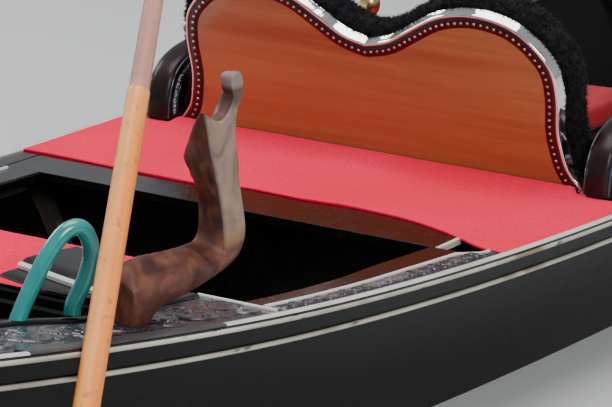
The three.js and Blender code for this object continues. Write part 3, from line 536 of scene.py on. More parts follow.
DECK_CARVING_FORE = -2.812
CAP_CARVING_AFT = -2.785
CAP_CARVING_FORE = {PORT: -2.09, STARBOARD: -2.0}
for side, label in SIDES:
    carved_band(
        f"deck_carving_{label}", side, -3.55, DECK_CARVING_FORE,
        lambda x: beam(x, side) - rail_width(x), lambda x: carving_inner(x, side), 11 + side,
    )
    carved_band(
        f"cap_carving_{label}", side, CAP_CARVING_AFT, CAP_CARVING_FORE[side],
        lambda x: cap_carving_outer(x, side), lambda x: cap_carving_inner(x, side), 21 + side,
    )

# Half-round strips along the outside, two a side: bent pine, painted cream and rubbed by quays.
# Rust from their fixings has bled through the paint in places.
STRIP_HALF = 0.0055
STRIP_PROUD = 0.008
cream_paint = Finish("cream paint", Coat_Weight=0.15, Coat_Roughness=0.3, Specular_IOR_Level=0.4)
streak = cream_paint.cloud(7, stretch=(0.5, 1, 1), detail=4)
fleck = cream_paint.cloud(60, stretch=(0.25, 1, 1), detail=5)
faded = cream_paint.mixed(cream_paint.between(streak, 0.35, 0.7), (0.68, 0.64, 0.52), (0.4, 0.38, 0.31))
stain = cream_paint.between(cream_paint.cloud(3.3, detail=6), 0.6, 0.68)
faded = cream_paint.mixed(stain * 0.75, faded, (0.16, 0.085, 0.03))
chips = cream_paint.between(fleck, 0.64, 0.7)
cream_paint.painted(chips * 0.8, faded, (0.06, 0.05, 0.04))
cream_paint.wear("Roughness", cream_paint.between(fleck, 0.3, 0.7, 0.28, 0.6))
cream_paint.raised(fleck, 0.0004, 0.6)
for side, label in SIDES:
    for strip, below in (("upper_strip", 0.0105), ("lower_strip", 0.062)):
        def strip_section(x):
            middle = sheer(x) - below
            shape = []
            for k in range(9):
                angle = math.pi * (k / 8 - 0.5)
                up = STRIP_HALF * math.sin(angle)
                out = HAIRLINE + STRIP_PROUD * math.cos(angle) ** 0.8
                shape.append((planked(x, middle + up, side) + out, middle + up))
            return mirrored(shape, side)

        name = f"{strip}_{label}"
        bent = run(f"{name}_painted", -HULL_END, HULL_END, strip_section, cream_paint, 0.07, 60)
        fitted(bent, "pale_strip", name)

# Edge strips: polished brass bar nickelled white, screwed on the cap's outer top edge.
# To starboard it stops beside the rowlock, where a smooth worn rail takes the oar.
polished_metal = Finish("polished metal", Metallic=0.4)
hazy = polished_metal.cloud(26, detail=4)
tarnish = polished_metal.between(polished_metal.cloud(11, stretch=(0.4, 1, 1), detail=5), 0.58, 0.74)
screw = polished_metal.node(
    "ShaderNodeMath", {"operation": "PINGPONG"}, {0: polished_metal.axis(0), 1: 0.0475},
)
polished_metal.painted(tarnish * 0.5, (0.95, 0.93, 0.88), (0.42, 0.3, 0.24))
polished_metal.wear("Roughness", polished_metal.between(hazy, 0.3, 0.7, 0.12, 0.28) + tarnish * 0.12)
polished_metal.raised(polished_metal.between(screw, 0.0008, 0.0022), 0.001, 0.6)
worn_rail = Finish("worn rail", Coat_Weight=0.2, Coat_Roughness=0.2)
rub = worn_rail.between(worn_rail.cloud(5, stretch=(0.4, 2, 2), detail=4), 0.4, 0.65)
scuff = worn_rail.cloud(70, stretch=(0.15, 1, 1), detail=4)
worn_rail.painted(rub, (0.02, 0.021, 0.022), (0.1, 0.095, 0.095))
worn_rail.wear("Roughness", worn_rail.between(scuff, 0.3, 0.7, 0.3, 0.5))
worn_rail.raised(scuff, 0.0006, 0.5)
EDGE_WIDE, EDGE_TALL = 0.015, 0.005
RAIL_FROM, RAIL_TO = -3.51, RAIL_X[-1]


def edge_section(x, side, wide=EDGE_WIDE):
    outer, base = beam(x, side), sheer(x) + HAIRLINE
    low, high = base + EDGE_TALL * 0.55, base + EDGE_TALL * 0.92
    return mirrored([
        (outer - wide, base), (outer, base), (outer - 0.0006, low), (outer - 0.003, high),
        (outer - wide / 2, base + EDGE_TALL), (outer - wide + 0.003, high), (outer - wide + 0.0006, low),
    ], side)


for name, side, start, end, nodes in (
    ("edge_bar_port", PORT, -HULL_END, HULL_END, ["edge_strip_port"]),
    ("edge_bar_starboard_aft", STARBOARD, -HULL_END, RAIL_FROM, []),
    ("edge_bar_starboard", STARBOARD, RAIL_TO, HULL_END, ["edge_strip_starboard"]),
):
    edge_bar = run(name, start, end, lambda x: edge_section(x, side), polished_metal, 0.07, 60)
    fitted(edge_bar, "polished_metal", *nodes)
rail = run("oar_rail", RAIL_FROM + 0.001, RAIL_TO - 0.001,
           lambda x: edge_section(x, STARBOARD, rail_width(x) - 0.001), worn_rail, 0.04, 60)
fitted(rail, "carved_lacquer")

# Inner strips: a thin bright bead along the inboard side of the cap's carving, one across the
# fore end of the side deck's carving, and a plain black rail along that carving's inboard side.
CROSS_X = -2.8
BEAD_HALF = 0.004
for side, label in SIDES:
    def bead_section(x):
        return mirrored(half_round(cap_carving_inner(x, side) - 0.006, sheer(x), BEAD_HALF, 0.005), side)

    def inner_rail_section(x):
        outer, inner, base = carving_inner(x, side) - 0.002, deck_inner(x, side) + 0.001, sheer(x)
        return mirrored([
            (outer, base), (outer, base + 0.003), (outer - 0.003, base + 0.006),
            (inner + 0.004, base + 0.006), (inner, base + 0.002), (inner, base),
        ], side)

    bead = run(f"cap_bead_{label}", CAP_CARVING_AFT, CAP_CARVING_FORE[side],
               bead_section, polished_metal, 0.05, 60)
    fitted(bead, "polished_metal")
    inner_rail = run(f"deck_rail_{label}", -3.6, DECK_CARVING_FORE, inner_rail_section, lacquer, 0.03, 50)
    fitted(inner_rail, "lacquer")
    cross_section = half_round(CROSS_X, sheer(CROSS_X), BEAD_HALF, 0.0055)
    cross_ends = carving_inner(CROSS_X, side) - 0.012, beam(CROSS_X, side) - 0.028
    cross_rings = [[(x, side * y, z) for x, z in cross_section] for y in cross_ends]
    fitted(skinned(f"deck_cross_strip_{label}", cross_rings, polished_metal, 60), "polished_metal")

# Timbers and floor: oak legs and clamps inside the planking, and loose fir boards on bearers.
# Bare, oiled and walked grey; the boards are laid with a gap between them.
bare_plank = Finish("bare plank", Roughness=0.7)
grain = bare_plank.cloud(9, stretch=(0.6, 9, 9), detail=5, twist=0.4)
trodden = bare_plank.cloud(2.2, detail=4)
plank_brown = bare_plank.ramp(
    grain, (0.3, (0.035, 0.024, 0.017)), (0.55, (0.075, 0.052, 0.036)), (0.75, (0.13, 0.095, 0.068)),
)
bare_plank.painted(bare_plank.between(trodden, 0.4, 0.65) * 0.6, plank_brown, (0.05, 0.046, 0.042))
bare_plank.raised(grain, 0.0012, 0.7)
coat(["side_timbers_port", "side_timbers_starboard"], bare_plank)
FLOOR_THICK = 0.018
FLOOR_BOARDS = 9
FLOOR_RISE = 0.0836
FLOOR_FROM, FLOOR_TO = -2.7777, 2.2997
TIMBER_DEEP = 0.0415
BOARD_GAP = 0.003


def floor_top(x):
    return faired("keel", x) + FLOOR_RISE


def board_shape(left, right, high, thick, ease):
    """A board's section, its upper corners eased."""
    return [(left, high - thick), (right, high - thick), (right, high - 0.001), (right - ease, high),
            (left + ease, high), (left, high - 0.001)]


for k in range(FLOOR_BOARDS):
    def board_section(x):
        high = floor_top(x)
        port = planked(x, high, PORT) - SIDE_THICK - TIMBER_DEEP
        star = -(planked(x, high, STARBOARD) - SIDE_THICK - TIMBER_DEEP)
        wide = (port - star) / FLOOR_BOARDS
        left, right = star + k * wide + BOARD_GAP / 2, star + (k + 1) * wide - BOARD_GAP / 2
        return board_shape(left, right, high, FLOOR_THICK, 0.002)

    board = run(f"floor_board_{k + 1}", FLOOR_FROM, FLOOR_TO, board_section, bare_plank, 0.2, 30)
    fitted(board, "plank")
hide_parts("floorboards")

# End decks: thin cambered boards over the bow and the stern, their centre joint under a bead.
# Pine, lacquered until no grain shows, with a bulkhead under each inboard edge.
CAMBER = 0.13
BOW_BULKHEAD_X, STERN_DECK_X = 2.3, -3.62
DECK_ARC = 14
for deck, start, end in (("bow_deck", BOW_BULKHEAD_X, HULL_END), ("stern_deck", -HULL_END, STERN_DECK_X)):
    def deck_section(x):
        middle, half = breadth(x, CAP_WIDTH + HAIRLINE)
        across = [1 - 2 * k / DECK_ARC for k in range(DECK_ARC + 1)]
        rise = [(middle + half * u, CAMBER * half * (1 - u * u)) for u in across]
        return [(y, sheer(x) + up) for y, up in rise] + [(y, cap_under(x) + up) for y, up in reversed(rise)]

    def deck_bead_section(x):
        middle, half = breadth(x, CAP_WIDTH)
        return half_round(middle, sheer(x) + CAMBER * half - 0.001, 0.009, 0.006)

    fitted(run(f"{deck}_boards", start, end, deck_section, lacquer, 0.08, 40), "lacquer", deck)
    deck_bead = run(f"{deck}_bead", start + 0.005, end - 0.005, deck_bead_section, lacquer, 0.1, 60)
    fitted(deck_bead, "lacquer")
coat(["bow_bulkhead", "stern_bulkhead", "well_bulkhead", "board_bulkhead", "seat_bulkhead"], lacquer)

# Side decks and the raised stage: boards set between the stern deck and the after well, the
# stage lower than the side decks and under their legs. Black lacquer, dulled where it is stood on.
STAGE_TOP = 0.372
STAGE_FROM, SIDE_DECK_TO = STERN_DECK_X + HAIRLINE, -2.79
DECK_LEG = 0.018
for side, label in SIDES:
    def side_deck_section(x):
        outer, inner = beam(x, side) - CAP_WIDTH - HAIRLINE, deck_inner(x, side)
        low, high = cap_under(x), sheer(x)
        leg = inner + DECK_LEG
        return mirrored([
            (outer, low), (outer, high), (inner + 0.003, high), (inner, high - 0.003),
            (inner, STAGE_TOP + HAIRLINE), (leg, STAGE_TOP + HAIRLINE), (leg, low),
        ], side)

    side_deck = run(f"side_deck_{label}_board", STAGE_FROM, SIDE_DECK_TO,
                    side_deck_section, lacquer, 0.03, 30)
    fitted(side_deck, "carved_lacquer", f"side_deck_{label}")
STAGE_PLANKS = 5
for k in range(STAGE_PLANKS):
    def stage_plank_section(x):
        star, port = -(deck_inner(x, STARBOARD) + DECK_LEG), STAGE_PORT_Y + DECK_LEG
        left = star + (port - star) * k / STAGE_PLANKS + 0.001
        right = star + (port - star) * (k + 1) / STAGE_PLANKS - 0.001
        return board_shape(left, right, STAGE_TOP, 0.022, 0.001)

    plank = run(f"stage_plank_{k + 1}", STAGE_FROM, SIDE_DECK_TO, stage_plank_section, lacquer, 0.03)
    fitted(plank, "lacquer")
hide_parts("stage")

# The step: a thick moulded board to stand on, set on two risers, under red carpet.
# The carpet is cut to the board's size and glued down behind a thin lacquered nosing.
STEP_X = (-3.1, -2.795)
STEP_Y = (-0.243, 0.385)


def block(name, low, high, finish, ease=0.002):
    """A squared timber between two corners, its edges eased."""
    rings = [[(x, low[1], low[2]), (x, high[1], low[2]), (x, high[1], high[2]), (x, low[1], high[2])]
             for x in (low[0], high[0])]
    return eased(skinned(name, rings, finish), ease)


STEP_TOP, STEP_BOARD = 0.467, 0.042
step_aft, step_fore = STEP_X
board_low = STEP_TOP - STEP_BOARD
step_shape = [
    (step_aft + 0.004, board_low), (step_aft, board_low + 0.006), (step_aft, board_low + 0.012),
    (step_aft + 0.006, board_low + 0.018), (step_aft + 0.002, board_low + 0.026),
    (step_aft, STEP_TOP - 0.006), (step_aft + 0.003, STEP_TOP),
    (step_fore - 0.003, STEP_TOP), (step_fore, STEP_TOP - 0.004), (step_fore, board_low),
]
step = skinned("step_board_moulded", [[(x, y, z) for x, z in step_shape] for y in STEP_Y], lacquer, 30)
fitted(step, "lacquer", "step_board")
for end, x in (("aft", step_aft + 0.035), ("fore", step_fore - 0.057)):
    foot, head = (x, STEP_Y[0], STAGE_TOP + HAIRLINE), (x + 0.022, STEP_Y[1], board_low)
    fitted(block(f"step_riser_{end}", foot, head, lacquer), "lacquer")
nosing = block("step_nosing", (step_aft + 0.0002, STEP_Y[0] + 0.0002, STEP_TOP + 0.0002),
               (step_aft + 0.0028, STEP_Y[1] - 0.0002, STEP_TOP + 0.0068), lacquer, 0.0008)
fitted(nosing, "lacquer")

red_carpet = Finish(
    "red carpet", Sheen_Weight=0.04, Sheen_Roughness=0.5, Roughness=0.95, Specular_IOR_Level=0.05,
)
felt = red_carpet.cloud(900, detail=3)
pile = red_carpet.cloud(130, detail=5)
faded_red = red_carpet.between(red_carpet.cloud(2.6, detail=3), 0.35, 0.7)
carpet_red = red_carpet.mixed(faded_red, (0.88, 0.004, 0.05), (0.98, 0.007, 0.08))
carpet_red = red_carpet.mixed(red_carpet.between(pile, 0.35, 0.7) * 0.4, carpet_red, (0.66, 0.003, 0.036))
red_carpet.wear("Base Color", carpet_red)
red_carpet.raised(felt * 0.5 + pile, 0.0016, 0.6)
CARPET_THICK = 0.006


def laid(name, place, rows, columns, thick, finish):
    """A carpet's closed slab. place(u, v) gives its underside, u and v running from 0 to 1."""
    points = []
    for lift in (0, thick):
        for i in range(rows + 1):
            for j in range(columns + 1):
                x, y, z = place(i / rows, j / columns)
                edge = min(i, rows - i, j, columns - j)
                ripple = 0.0011 * noise.noise(Vector((x * 5, y * 7, 3.1))) + 0.0004 * noise.noise(
                    Vector((x * 60, y * 60, 8)))
                round_off = 0.35 * thick if edge == 0 else 0
                points.append((x, y, z + (lift - round_off + ripple if lift else 0)))
    size = (rows + 1) * (columns + 1)
    faces = []
    for i in range(rows):
        for j in range(columns):
            a = i * (columns + 1) + j
            b = a + columns + 1
            faces.append((a, b, b + 1, a + 1))
            faces.append((size + a, size + a + 1, size + b + 1, size + b))
    rim = [(0, j) for j in range(columns)] + [(i, columns) for i in range(rows)]
    rim += [(rows, j) for j in range(columns, 0, -1)] + [(i, 0) for i in range(rows, 0, -1)]
    for here, there in zip(rim, rim[1:] + rim[:1]):
        a, b = here[0] * (columns + 1) + here[1], there[0] * (columns + 1) + there[1]
        faces.append((a, b, size + b, size + a))
    return shaped(name, points, faces, finish, 60)


step_wide, step_long = STEP_Y[1] - STEP_Y[0], step_fore - step_aft
step_carpet = laid(
    "step_carpet_laid",
    lambda u, v: (step_aft + 0.003 + step_long * u, STEP_Y[0] + step_wide * v, STEP_TOP + HAIRLINE),
    40, 60, CARPET_THICK + 0.0005, red_carpet,
)
fitted(step_carpet, "red_carpet", "step_carpet")

# Footrest: a wedge of black wood screwed through the carpet, with a bright bar let into it.
# Its thin after edge is cut off flush with the edge of the step.
FOOTREST_AT = Vector((-2.984, -0.147, 0.4748))
FOOTREST_TURN = math.radians(16)
FOOTREST_PLACE = Matrix.Translation(FOOTREST_AT) @ Matrix.Rotation(-FOOTREST_TURN, 4, "Z")
FOOTREST_HALF = 0.118
WEDGE = ((-0.117, 0), (0.08, 0), (0.08, 0.021), (0.075, 0.026), (-0.03, 0.026), (-0.05, 0.0245),
         (-0.06, 0.02), (-0.06, 0.007), (-0.073, 0.007), (-0.095, 0.006), (-0.112, 0.003))
FOOTREST_BAR = ((-0.073, 0.0073), (-0.0603, 0.0073), (-0.0603, 0.0185), (-0.063, 0.0195), (-0.073, 0.016))


def footrest_ring(shape, y, after_edge):
    """An outline of x and z set across the footrest, cut off at an after edge."""
    return [tuple(FOOTREST_PLACE @ Vector((max(x, after_edge), y, z))) for x, z in shape]


wedge_rings = []
for y in np.linspace(-FOOTREST_HALF, FOOTREST_HALF, 13):
    flush = step_aft + 0.002 - FOOTREST_AT.x - y * math.sin(FOOTREST_TURN)
    wedge_rings.append(footrest_ring(WEDGE, y, flush / math.cos(FOOTREST_TURN)))
wedge = skinned("footrest_wedge", wedge_rings, lacquer, 30)
bar_rings = [footrest_ring(FOOTREST_BAR, y, FOOTREST_BAR[0][0]) for y in (-FOOTREST_HALF, FOOTREST_HALF)]
bar = skinned("footrest_bright_bar", bar_rings, polished_metal)
fitted(eased(wedge, 0.002), "lacquer", "footrest")
fitted(eased(bar, 0.0012), "polished_metal", "footrest_bar")

# Cover board: the wide lacquered board behind the seat, with a rounded after lip. Its starboard
# corner is cut back, and a strip painted cream finishes the cut end.
BOARD_AFT_X, SEAT_BULKHEAD_X = -2.07, -1.44
NOTCH_X, NOTCH_Y = -1.96, 0.395


def cover_section(x):
    port = beam(x, PORT) - CAP_WIDTH - HAIRLINE
    star = NOTCH_Y if x < NOTCH_X else beam(x, STARBOARD) - CAP_WIDTH - HAIRLINE
    return [(-star, cap_under(x)), (port, cap_under(x)), (port, sheer(x)), (-star, sheer(x))]


cover_board = run("cover_board_lipped", BOARD_AFT_X, SEAT_BULKHEAD_X,
                  cover_section, lacquer, 0.06, 0, (NOTCH_X,))
fitted(eased(cover_board, 0.004, 3), "lacquer", "cover_board")
end_cap = block("board_end_strip", (BOARD_AFT_X, -NOTCH_Y - 0.01, cap_under(BOARD_AFT_X) + 0.002),
                (NOTCH_X - HAIRLINE, -NOTCH_Y - HAIRLINE, sheer(-2.0) + 0.002), cream_paint, 0.002)
fitted(end_cap, "brass", "board_end_cap")

# Seat carpet: red felted carpet laid over the cover board and both caps behind the seat.
# Its after edge was cut by eye and runs in waves. It rises over the sill to the foot of the back.
CARPET_EDGE = (
    (-1.916, 0.795), (-1.915, 0.616), (-1.927, 0.295), (-1.888, 0.177), (-1.893, 0.034), (-1.882, -0.073),
    (-1.893, -0.204), (-1.923, -0.306), (-1.973, -0.406), (-2.014, -0.476), (-2.03, -0.56),
)
CARPET_FORE_X = -1.448
SEAT_MIDDLE_Y = 0.1145
SILL_TOP = 0.3626


def curved(points, count, closed=False):
    """A smooth curve through points, at even steps between them."""
    points = [Vector(p) for p in points]
    last = len(points) - 1
    total = last + 1 if closed else last
    result = []
    for k in range(count if closed else count + 1):
        t = k / count * total
        i = min(int(t), total - 1)
        t -= i
        near = [(i + s) % total if closed else min(max(i + s, 0), last) for s in (-1, 0, 1, 2)]
        a, b, c, d = (points[n] for n in near)
        result.append(0.5 * (2 * b + (c - a) * t + (2 * a - 5 * b + 4 * c - d) * t ** 2
                             + (3 * b - a - 3 * c + d) * t ** 3))
    return result


cut_edge = curved(CARPET_EDGE, 120)
edge_x, edge_y = zip(*reversed(cut_edge))


def carpet_y(x, v):
    """A place across the carpet, which reaches to the edge strips."""
    star, port = -(beam(x, STARBOARD) - EDGE_WIDE - 0.0008), beam(x, PORT) - EDGE_WIDE - 0.0008
    return star + (port - star) * v


def seat_carpet_place(u, v):
    y = carpet_y(-1.95, v)
    x = float(np.interp(y, edge_y, edge_x))
    under_back = float(np.interp(abs(y - SEAT_MIDDLE_Y), (0.5, 0.515), (1, 0)))
    x += (CARPET_FORE_X + 0.0155 * under_back - x) * u
    rise = float(np.interp(x, (-1.53, -1.449), (0, 1))) ** 2 * under_back
    flat = sheer(x) + 0.0004
    return x, carpet_y(x, v), max(flat, SILL_TOP * rise + flat * (1 - rise))


seat_carpet = laid("seat_carpet_laid", seat_carpet_place, 70, 190, CARPET_THICK, red_carpet)
fitted(seat_carpet, "red_carpet", "seat_carpet")
carpet_across = beam(-1.7, PORT) + beam(-1.7, STARBOARD) - 2 * EDGE_WIDE
carpet_area = carpet_across * (CARPET_FORE_X - float(np.mean(edge_x)))
carpet_across + 0.03

# Seat back: a leaning board of varnished cherry, cut to two rounded lobes with a dip between.
# Its grain runs across the boat. It stands on a sill just ahead of the cover board.
BACK_LEAN = math.radians(-14)
BACK_PLACE = Matrix.Translation((-1.429, SEAT_MIDDLE_Y, 0.363)) @ Matrix.Rotation(BACK_LEAN, 4, "Y")
BACK_FOOT = -0.0065
BACK_THICK = 0.022
BACK_HALF = (
    (0.525, -0.0055), (0.521, 0), (0.492, 0.04), (0.478, 0.095), (0.474, 0.14), (0.478, 0.215), (0.467, 0.28),
    (0.425, 0.332), (0.372, 0.366), (0.308, 0.38), (0.246, 0.377), (0.184, 0.359), (0.122, 0.322),
    (0.06, 0.284), (0, 0.268),
)
half_back = [tuple(p) for p in curved(BACK_HALF, 90)]
back_outline = half_back + [(-w, h) for w, h in reversed(half_back[:-1])]


def back_ring(i, section, widest=1.0):
    """One place on the outline, with a section of distances outward and forward set on it."""
    before = Vector(back_outline[max(i - 1, 0)])
    after = Vector(back_outline[min(i + 1, len(back_outline) - 1)])
    along = (after - before).normalized()
    out = Vector((along.y, -along.x))
    at = Vector(back_outline[i])
    ring = []
    for distance, depth in section:
        spot = at + out * distance
        wide = max(-widest, min(widest, spot.x))
        ring.append(tuple(BACK_PLACE @ Vector((depth, wide, max(spot.y, BACK_FOOT)))))
    return ring


def back_line(distance, depth):
    """The outline moved out by a distance and forward by a depth."""
    return [back_ring(i, [(distance, depth)])[0] for i in range(len(back_outline))]


varnished_wood = Finish("varnished cherry", Coat_Weight=0.6, Coat_Roughness=0.09)
flow = varnished_wood.cloud(2.1, stretch=(1, 0.35, 5), detail=3, twist=0.5)
lines = varnished_wood.cloud(16, stretch=(1, 0.12, 5), detail=5, twist=0.5)
pores = varnished_wood.cloud(240, stretch=(1, 0.05, 2), detail=2)
cherry = varnished_wood.ramp(
    flow, (0.3, (0.24, 0.085, 0.027)), (0.5, (0.34, 0.165, 0.057)), (0.72, (0.42, 0.225, 0.08)),
)
cherry = varnished_wood.mixed(varnished_wood.between(lines, 0.45, 0.75) * 0.45, cherry, (0.23, 0.08, 0.026))
cherry = varnished_wood.mixed(varnished_wood.between(pores, 0.6, 0.75) * 0.25, cherry, (0.19, 0.055, 0.02))
# The board's colour turns redder and darker towards its foot.
foot = varnished_wood.between(varnished_wood.axis(2), 0.36, 0.52, 0.35, 0.0)
varnished_wood.painted(foot, cherry, (0.3, 0.075, 0.024))
varnished_wood.wear("Roughness", varnished_wood.between(lines, 0.3, 0.7, 0.24, 0.36))
varnished_wood.raised(pores, 0.0003, 0.4)
panel = skinned("back_board", [back_line(-0.0015, depth) for depth in (0, BACK_THICK)], varnished_wood, 60)
fitted(panel, "varnished_wood", "back_panel")

# The back's border: a band of dark leather closed over the board's edge by copper nails, with
# red piping outside it and a thin bright wire beyond the piping.
dark_leather = Finish("dark leather", Roughness=0.42)
creases = dark_leather.cloud(150, detail=5)
dark_leather.painted(creases, (0.01, 0.004, 0.004), (0.026, 0.01, 0.008))
dark_leather.raised(creases, 0.0008, 0.8)
red_piping = Finish("red piping", Roughness=0.5)
cord_twist = red_piping.cloud(400, detail=3)
red_piping.painted(cord_twist, (0.42, 0.004, 0.018), (0.24, 0.003, 0.011))
red_piping.raised(cord_twist, 0.0004, 0.6)
copper_nail = Finish("copper nail", Metallic=1.0)
nail_tone = copper_nail.cloud(55, detail=3)
copper_nail.wear("Base Color", copper_nail.ramp(
    nail_tone, (0.3, (0.45, 0.28, 0.2)), (0.55, (0.72, 0.56, 0.46)), (0.7, (0.92, 0.86, 0.8))))
copper_nail.wear("Roughness", copper_nail.between(nail_tone, 0.3, 0.7, 0.42, 0.26))


def round_the_back(name, section, finish, sharp=40, widest=1.0):
    rings = [back_ring(i, section, widest) for i in range(len(back_outline))]
    return skinned(name, rings, finish, sharp)


def bowed(inner, outer, depth, swell, steps=8):
    """A section that swells aft between two distances from the outline."""
    back = [(inner, depth), (outer, depth)]
    face = [(outer + (inner - outer) * k / steps, -swell * math.sin(math.pi * k / steps) ** 0.6 - 0.0005)
            for k in range(steps + 1)]
    return back + face


def circle(count):
    """Places round a circle, as cosines and sines."""
    turns = [2 * math.pi * k / count for k in range(count)]
    return [(math.cos(turn), math.sin(turn)) for turn in turns]


def round_bar(distance, depth, radius):
    return [(distance + radius * c, depth + radius * s) for c, s in circle(8)]


for name, section, finish, sharp, slot in (
    ("back_band", bowed(-0.027, -0.003, 0.0005, 0.0028), dark_leather, 60, "black_fleece"),
    ("back_piping", round_bar(-0.001, -0.001, 0.0013), red_piping, 0, "red_cloth"),
    ("back_wire", round_bar(0.0014, -0.001, 0.0009), polished_metal, 0, "polished_metal"),
):
    fitted(round_the_back(name, section, finish, sharp), slot)

NAIL_PITCH, NAIL_RADIUS, NAIL_HEIGHT = 0.0165, 0.0038, 0.0022
NAIL_DOME = ((1, 0), (0.86, 0.55), (0.5, 0.87))


def lengths_along(points):
    return np.cumsum([0] + [(b - a).length for a, b in zip(points, points[1:])])


def spot_along(points, lengths, mark):
    """The place at a length along a line of points."""
    return Vector([float(np.interp(mark, lengths, [p[axis] for p in points])) for axis in range(3)])


nail_line = [Vector(p) for p in back_line(-0.015, -0.003)]
nail_lengths = lengths_along(nail_line)
nail_count = round(nail_lengths[-1] / NAIL_PITCH)
aft = (BACK_PLACE.to_3x3() @ Vector((-1, 0, 0))).normalized()
nail_across = aft.orthogonal().normalized()
nail_up = aft.cross(nail_across)
nail_points, nail_faces = [], []
for mark in np.linspace(NAIL_PITCH / 2, nail_lengths[-1] - NAIL_PITCH / 2, nail_count):
    place = spot_along(nail_line, nail_lengths, mark)
    first = len(nail_points)
    for wide, up in NAIL_DOME:
        for c, s in circle(8):
            rim = (nail_across * c + nail_up * s) * NAIL_RADIUS * wide
            nail_points.append(place + rim + aft * NAIL_HEIGHT * up)
    nail_points.append(place + aft * NAIL_HEIGHT)
    for k in range(8):
        a, b = first + k, first + (k + 1) % 8
        nail_faces += [(a, b, b + 8, a + 8), (a + 8, b + 8, b + 16, a + 16), (a + 16, b + 16, first + 24)]
    nail_faces.append([first + k for k in range(7, -1, -1)])
fitted(shaped("back_nails", nail_points, nail_faces, copper_nail, 0), "brass")

# The back's moulding: a cove of polished nickel bent round the board's edge, mirror bright.
# It covers the board's thickness and flares out to the foot of the fleece.
mirror_nickel = Finish("mirror nickel", Metallic=1.0, Roughness=0.05)
old_silver = mirror_nickel.cloud(14, detail=4)
mirror_nickel.painted(mirror_nickel.between(old_silver, 0.4, 0.7), (0.88, 0.88, 0.86), (0.66, 0.68, 0.6))
mirror_nickel.raised(mirror_nickel.cloud(30, detail=3), 0.0008, 0.35)
COVE = ((0.0026, -0.0016), (0.004, -0.0014), (0.0056, 0.001), (0.0072, 0.0055), (0.0095, 0.0115),
        (0.0124, 0.0175), (0.014, 0.0205), (0.014, BACK_THICK), (0.0008, BACK_THICK), (0.0008, -0.0005))
fitted(round_the_back("back_cove", COVE, mirror_nickel, 50), "polished_metal", "back_moulding")

# Fleece: black curly sheepskin round the top of the back, its skin side glued down.
# A rounded roll carries the tufts, which stand out and fall over every way.
FUR_WIDEST = 0.524
FLEECE_ROLL = ((-0.0025, 0.0227), (0.014, 0.0227), (0.0225, 0.028), (0.027, 0.039), (0.028, 0.058),
               (0.0275, 0.078), (0.025, 0.093), (0.018, 0.102), (0.006, 0.1055), (-0.0025, 0.104))
FLEECE_HEART = Vector((0.008, 0.062))
black_fleece = Finish(
    "black fleece", Roughness=1.0, Sheen_Weight=0.06, Sheen_Roughness=0.4, Specular_IOR_Level=0.12,
)
curl = black_fleece.cloud(75, detail=5)
black_fleece.painted(black_fleece.between(curl, 0.4, 0.75), (0.004, 0.004, 0.005), (0.022, 0.019, 0.022))
black_fleece.raised(curl, 0.002, 0.8)
fleece = round_the_back("back_fleece_roll", FLEECE_ROLL, black_fleece, 0, FUR_WIDEST)
fitted(fleece, "black_fleece", "back_fur")
TUFTS = 26000
SHORTEST_TUFT = 0.004
chance = np.random.default_rng(5)
tuft_points, tuft_faces = [], []
for k in range(TUFTS):
    i = int(chance.integers(1, len(back_outline) - 1))
    t = chance.uniform(0, len(FLEECE_ROLL) - 1.001)
    j = int(t)
    here, there = Vector(FLEECE_ROLL[j]), Vector(FLEECE_ROLL[j + 1])
    spot = here.lerp(there, t - j)
    lean_way = Vector(((there - here).y, -(there - here).x)).normalized()
    if lean_way.dot(FLEECE_HEART - spot) > 0:
        lean_way = -lean_way
    root = Vector(back_ring(i, [tuple(spot - lean_way * 0.002)], FUR_WIDEST)[0])
    tip_ring = Vector(back_ring(i, [tuple(spot + lean_way * 0.01)], FUR_WIDEST + 0.01)[0])
    step_along = Vector(back_ring(i + 1, [tuple(spot)])[0]) - Vector(back_ring(i, [tuple(spot)])[0])
    root += step_along * chance.uniform(-0.5, 0.5)
    way = tip_ring - root
    if way.length < SHORTEST_TUFT:
        continue
    way.normalize()
    clump = Vector((noise.noise(root * 55), noise.noise(root * 55 + Vector((9, 0, 0))),
                    noise.noise(root * 55 + Vector((0, 9, 0)))))
    way = (way + clump * 1.3 + Vector(chance.normal(0, 0.28, 3))).normalized()
    length = chance.uniform(0.008, 0.0145)
    thick = chance.uniform(0.0007, 0.0013)
    side_way = way.orthogonal().normalized()
    other_way = way.cross(side_way)
    first = len(tuft_points)
    for corner in range(3):
        angle = 2 * math.pi * corner / 3 + k
        tuft_points.append(root + (side_way * math.cos(angle) + other_way * math.sin(angle)) * thick)
    tuft_points.append(root + way * length)
    tuft_faces += [(first, first + 1, first + 3), (first + 1, first + 2, first + 3),
                   (first + 2, first, first + 3), (first + 2, first + 1, first)]
tufts = shaped("back_fleece_tufts", tuft_points, tuft_faces, black_fleece, 0)
fitted(tufts, "black_fleece")

# Padding on the fore side of the back: red cloth over horsehair, sewn into upright channels.
# It is stuffed fullest at shoulder height and thins to its edges.
red_cloth = Finish("red cloth", Roughness=0.85, Sheen_Weight=0.06, Sheen_Roughness=0.4)
threads = red_cloth.node("ShaderNodeTexWave", {"wave_type": "BANDS", "bands_direction": "Z"}, {
    "Vector": red_cloth.place(), "Scale": 160.0, "Distortion": 1.5,
}, "Fac")
faded_cloth = red_cloth.cloud(5, detail=4)
red_cloth.painted(red_cloth.between(faded_cloth, 0.35, 0.7), (0.33, 0.008, 0.018), (0.43, 0.02, 0.03))
red_cloth.raised(threads * 0.4 + red_cloth.cloud(300), 0.0006, 0.6)

